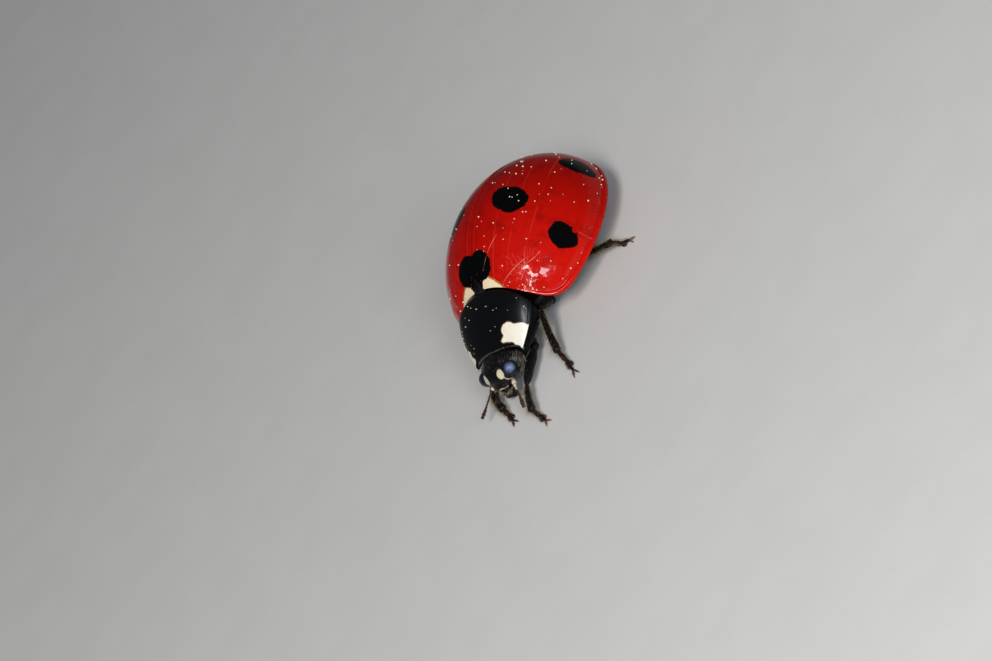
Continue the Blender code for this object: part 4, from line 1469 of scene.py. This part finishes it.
class LADYBIRD_OT_hairs(Operator):
    """Grow the hairs of legs, head and belly"""

    bl_idname = "ladybird.hairs"
    bl_label = "Hairs"

    def execute(self, context):
        """Golden hairs on the legs, pale ones on the head and the pronotum's front edge, dull ones below."""
        rng = np.random.default_rng(HAIR_SEED)
        width = sizes().hair_width / 2 / UNIT
        fringe, down = sizes().fringe_length / UNIT, sizes().down_length / UNIT
        legs = [group for name in LEGS for group in leg_hairs(rng, name, fringe, width)]
        gold = material("hair_gold", hair_finish, tint("gold_hair"))
        make_hairs("leg_hairs", legs, gold, "leg_black")
        head = [grow(rng, down, width) for grow in (forehead_hairs, cheek_hairs, collar_hairs, lip_hairs)]
        pale = material("hair_pale", hair_finish, tint("white_hair"))
        make_hairs("head_hairs", head, pale, "cuticle_black")
        dull = material("hair_dull", hair_finish, tint("white_hair", 0.35))
        make_hairs("belly_hairs", [belly_hairs(rng, down, width)], dull, "sternum_black")
        return {"FINISHED"}


def grain_shape():
    """A rounded grain: an octahedron with each edge's middle pushed out to the ball."""
    corners = vec((1, 0, 0), (-1, 0, 0), (0, 1, 0), (0, -1, 0), (0, 0, 1), (0, 0, -1))
    faces = [(0, 2, 4), (2, 1, 4), (1, 3, 4), (3, 0, 4), (2, 0, 5), (1, 2, 5), (3, 1, 5), (0, 3, 5)]
    points, split, middle = list(corners), [], {}
    for face in faces:
        between = []
        for p, q in zip(face, face[1:] + face[:1]):
            key = frozenset((p, q))
            if key not in middle:
                middle[key] = len(points)
                points.append(unit(corners[p] + corners[q]))
            between.append(middle[key])
        (a, b, c), (d, e, f) = face, between
        split += [(a, d, f), (d, b, e), (f, e, c), (d, e, f)]
    return np.array(points), np.array(split)


class LADYBIRD_OT_pollen(Operator):
    """Scatter pollen grains over the back"""

    bl_idname = "ladybird.pollen"
    bl_label = "Pollen"

    def execute(self, context):
        """Grains over the wing cases, nearly half of them along the rim, and smaller ones on the pronotum."""
        rng = np.random.default_rng(POLLEN_SEED)
        count = sizes().grain_count
        more = int(count * POLLEN_SHIELD)
        angle, reach = rng.uniform(0.15, pi - 0.1, count), np.sqrt(rng.uniform(0.02, 0.97, count))
        limit = reach_of(angle)
        seats = dome(angle, np.minimum(reach, limit * 0.97))
        rimward = rng.uniform(0, 1, count) < POLLEN_RIM
        rim = dome(angle, np.sin(np.arcsin(np.minimum(limit, 1)) * rng.uniform(0.90, 0.985, count)))
        seats = np.where(rimward[:, None], rim, seats)
        seats[:, 0] = np.where(rng.uniform(0, 1, count) < POLLEN_LEFT, seats[:, 0], -seats[:, 0])
        seats = np.concatenate([seats, shield(rng.uniform(-0.9, 0.9, more), rng.uniform(0.08, 0.95, more))])
        size = sizes().grain_size / UNIT * rng.uniform(0.42, 1.25, len(seats))
        size[count:] *= 0.72
        size = size[:, None, None]
        squash = rng.uniform(0.75, 1.15, (len(seats), 1, 3))
        lift = unit(seats - vec(0, 1.6, -1))
        shape, faces = grain_shape()
        points = seats[:, None] + lift[:, None] * size * 0.6 + shape[None] * size * squash
        faces = (faces[None] + len(shape) * np.arange(len(seats))[:, None, None]).reshape(-1, 3)
        body = outward(points.reshape(-1, 3), faces)
        make_piece("pollen_grains", body, material("pollen_yellow", pollen_finish), "elytra_red", weld=0)
        return {"FINISHED"}


# ---------------------------------------------------------------- stage


def make_floor():
    """A plain pale floor under the feet."""
    half = sizes().floor_size / 2
    mesh = bpy.data.meshes.new("floor")
    corners = [(-half, -half, 0), (half, -half, 0), (half, half, 0), (-half, half, 0)]
    mesh.from_pydata(corners, [], [(0, 1, 2, 3)])
    mesh.materials.append(material("floor_paper", floor_finish))
    add_object("floor", mesh)


def make_lamp(name, towards, distance, size, tall, power, hue):
    """A soft rectangular lamp in a direction from the insect, facing it."""
    data = bpy.data.lights.new(name, "AREA")
    data.shape = "RECTANGLE"
    data.size, data.size_y = size, tall
    data.energy, data.color = power, hue
    lamp = add_object(name, data)
    way = Vector(towards).normalized()
    lamp.location = Vector(place((0, 1, 0.8))) + way * distance
    lamp.rotation_mode = "QUATERNION"
    lamp.rotation_quaternion = way.to_track_quat("Z", "Y")


def make_camera():
    """A long-lensed camera above the insect's left front, rolled so that its head points down the frame."""
    azimuth, elevation, roll = (radians(v) for v in CAMERA_TURNS)
    right = Vector((cos(azimuth), sin(azimuth), 0))
    back = Vector((sin(azimuth) * cos(elevation), -cos(azimuth) * cos(elevation), sin(elevation)))
    up = back.cross(right)
    right, up = right * cos(roll) + up * sin(roll), up * cos(roll) - right * sin(roll)
    aside, above = CAMERA_SHIFT
    aim = Vector(place((0, 2, 0.8))) + right * aside + up * above
    data = bpy.data.cameras.new("camera")
    data.lens = sizes().lens
    data.clip_start, data.clip_end = 0.01, 10
    camera = add_object("camera", data)
    turn = Matrix((right, up, back)).transposed().to_4x4()
    camera.matrix_world = Matrix.Translation(aim + back * CAMERA_DISTANCE) @ turn
    bpy.context.scene.camera = camera


class LADYBIRD_OT_stage(Operator):
    """Build the floor, lamps, surroundings and camera"""

    bl_idname = "ladybird.stage"
    bl_label = "Stage"

    def execute(self, context):
        """The floor, the lamps, an even dim light from all round and the camera."""
        make_floor()
        for lamp in LAMPS:
            make_lamp(*lamp)
        world = bpy.data.worlds.new("soft_room")
        world.use_nodes = True
        background = world.node_tree.nodes["Background"].inputs
        background["Color"].default_value = (*ROOM_COLOUR, 1)
        background["Strength"].default_value = ROOM_LIGHT
        context.scene.world = world
        context.scene.view_settings.view_transform = "Standard"
        make_camera()
        return {"FINISHED"}


# ---------------------------------------------------------------- panel

OPERATORS = (
    LADYBIRD_OT_wing_cases,
    LADYBIRD_OT_scutellum,
    LADYBIRD_OT_pronotum,
    LADYBIRD_OT_head,
    LADYBIRD_OT_eyes,
    LADYBIRD_OT_antennae,
    LADYBIRD_OT_mouth,
    LADYBIRD_OT_legs,
    LADYBIRD_OT_underside,
    LADYBIRD_OT_hairs,
    LADYBIRD_OT_pollen,
    LADYBIRD_OT_stage,
)


class LADYBIRD_PT_panel(Panel):
    """The ladybird's building steps, sizes and colours."""

    bl_label = "Ladybird"
    bl_idname = "LADYBIRD_PT_panel"
    bl_space_type = "VIEW_3D"
    bl_region_type = "UI"
    bl_category = "Ladybird"

    def draw(self, context):
        """List the settings, then a button for each step."""
        for group in (context.scene.ladybird_sizes, context.scene.ladybird_colours):
            for key in group.bl_rna.properties.keys():
                if key not in {"rna_type", "name"}:
                    self.layout.prop(group, key)
        for kind in OPERATORS:
            self.layout.operator(kind.bl_idname)


CLASSES = (LadybirdSizes, LadybirdColours, *OPERATORS, LADYBIRD_PT_panel)


def register():
    """Register the classes and hang the settings on the scene."""
    for kind in CLASSES:
        bpy.utils.register_class(kind)
    bpy.types.Scene.ladybird_sizes = PointerProperty(type=LadybirdSizes)
    bpy.types.Scene.ladybird_colours = PointerProperty(type=LadybirdColours)


def unregister():
    """Take the settings and classes away again."""
    del bpy.types.Scene.ladybird_sizes
    del bpy.types.Scene.ladybird_colours
    for kind in reversed(CLASSES):
        bpy.utils.unregister_class(kind)


def main():
    """Build every piece in order."""
    register()
    for kind in OPERATORS:
        getattr(bpy.ops.ladybird, kind.bl_idname.split(".")[1])()


if __name__ == "__main__":
    main()
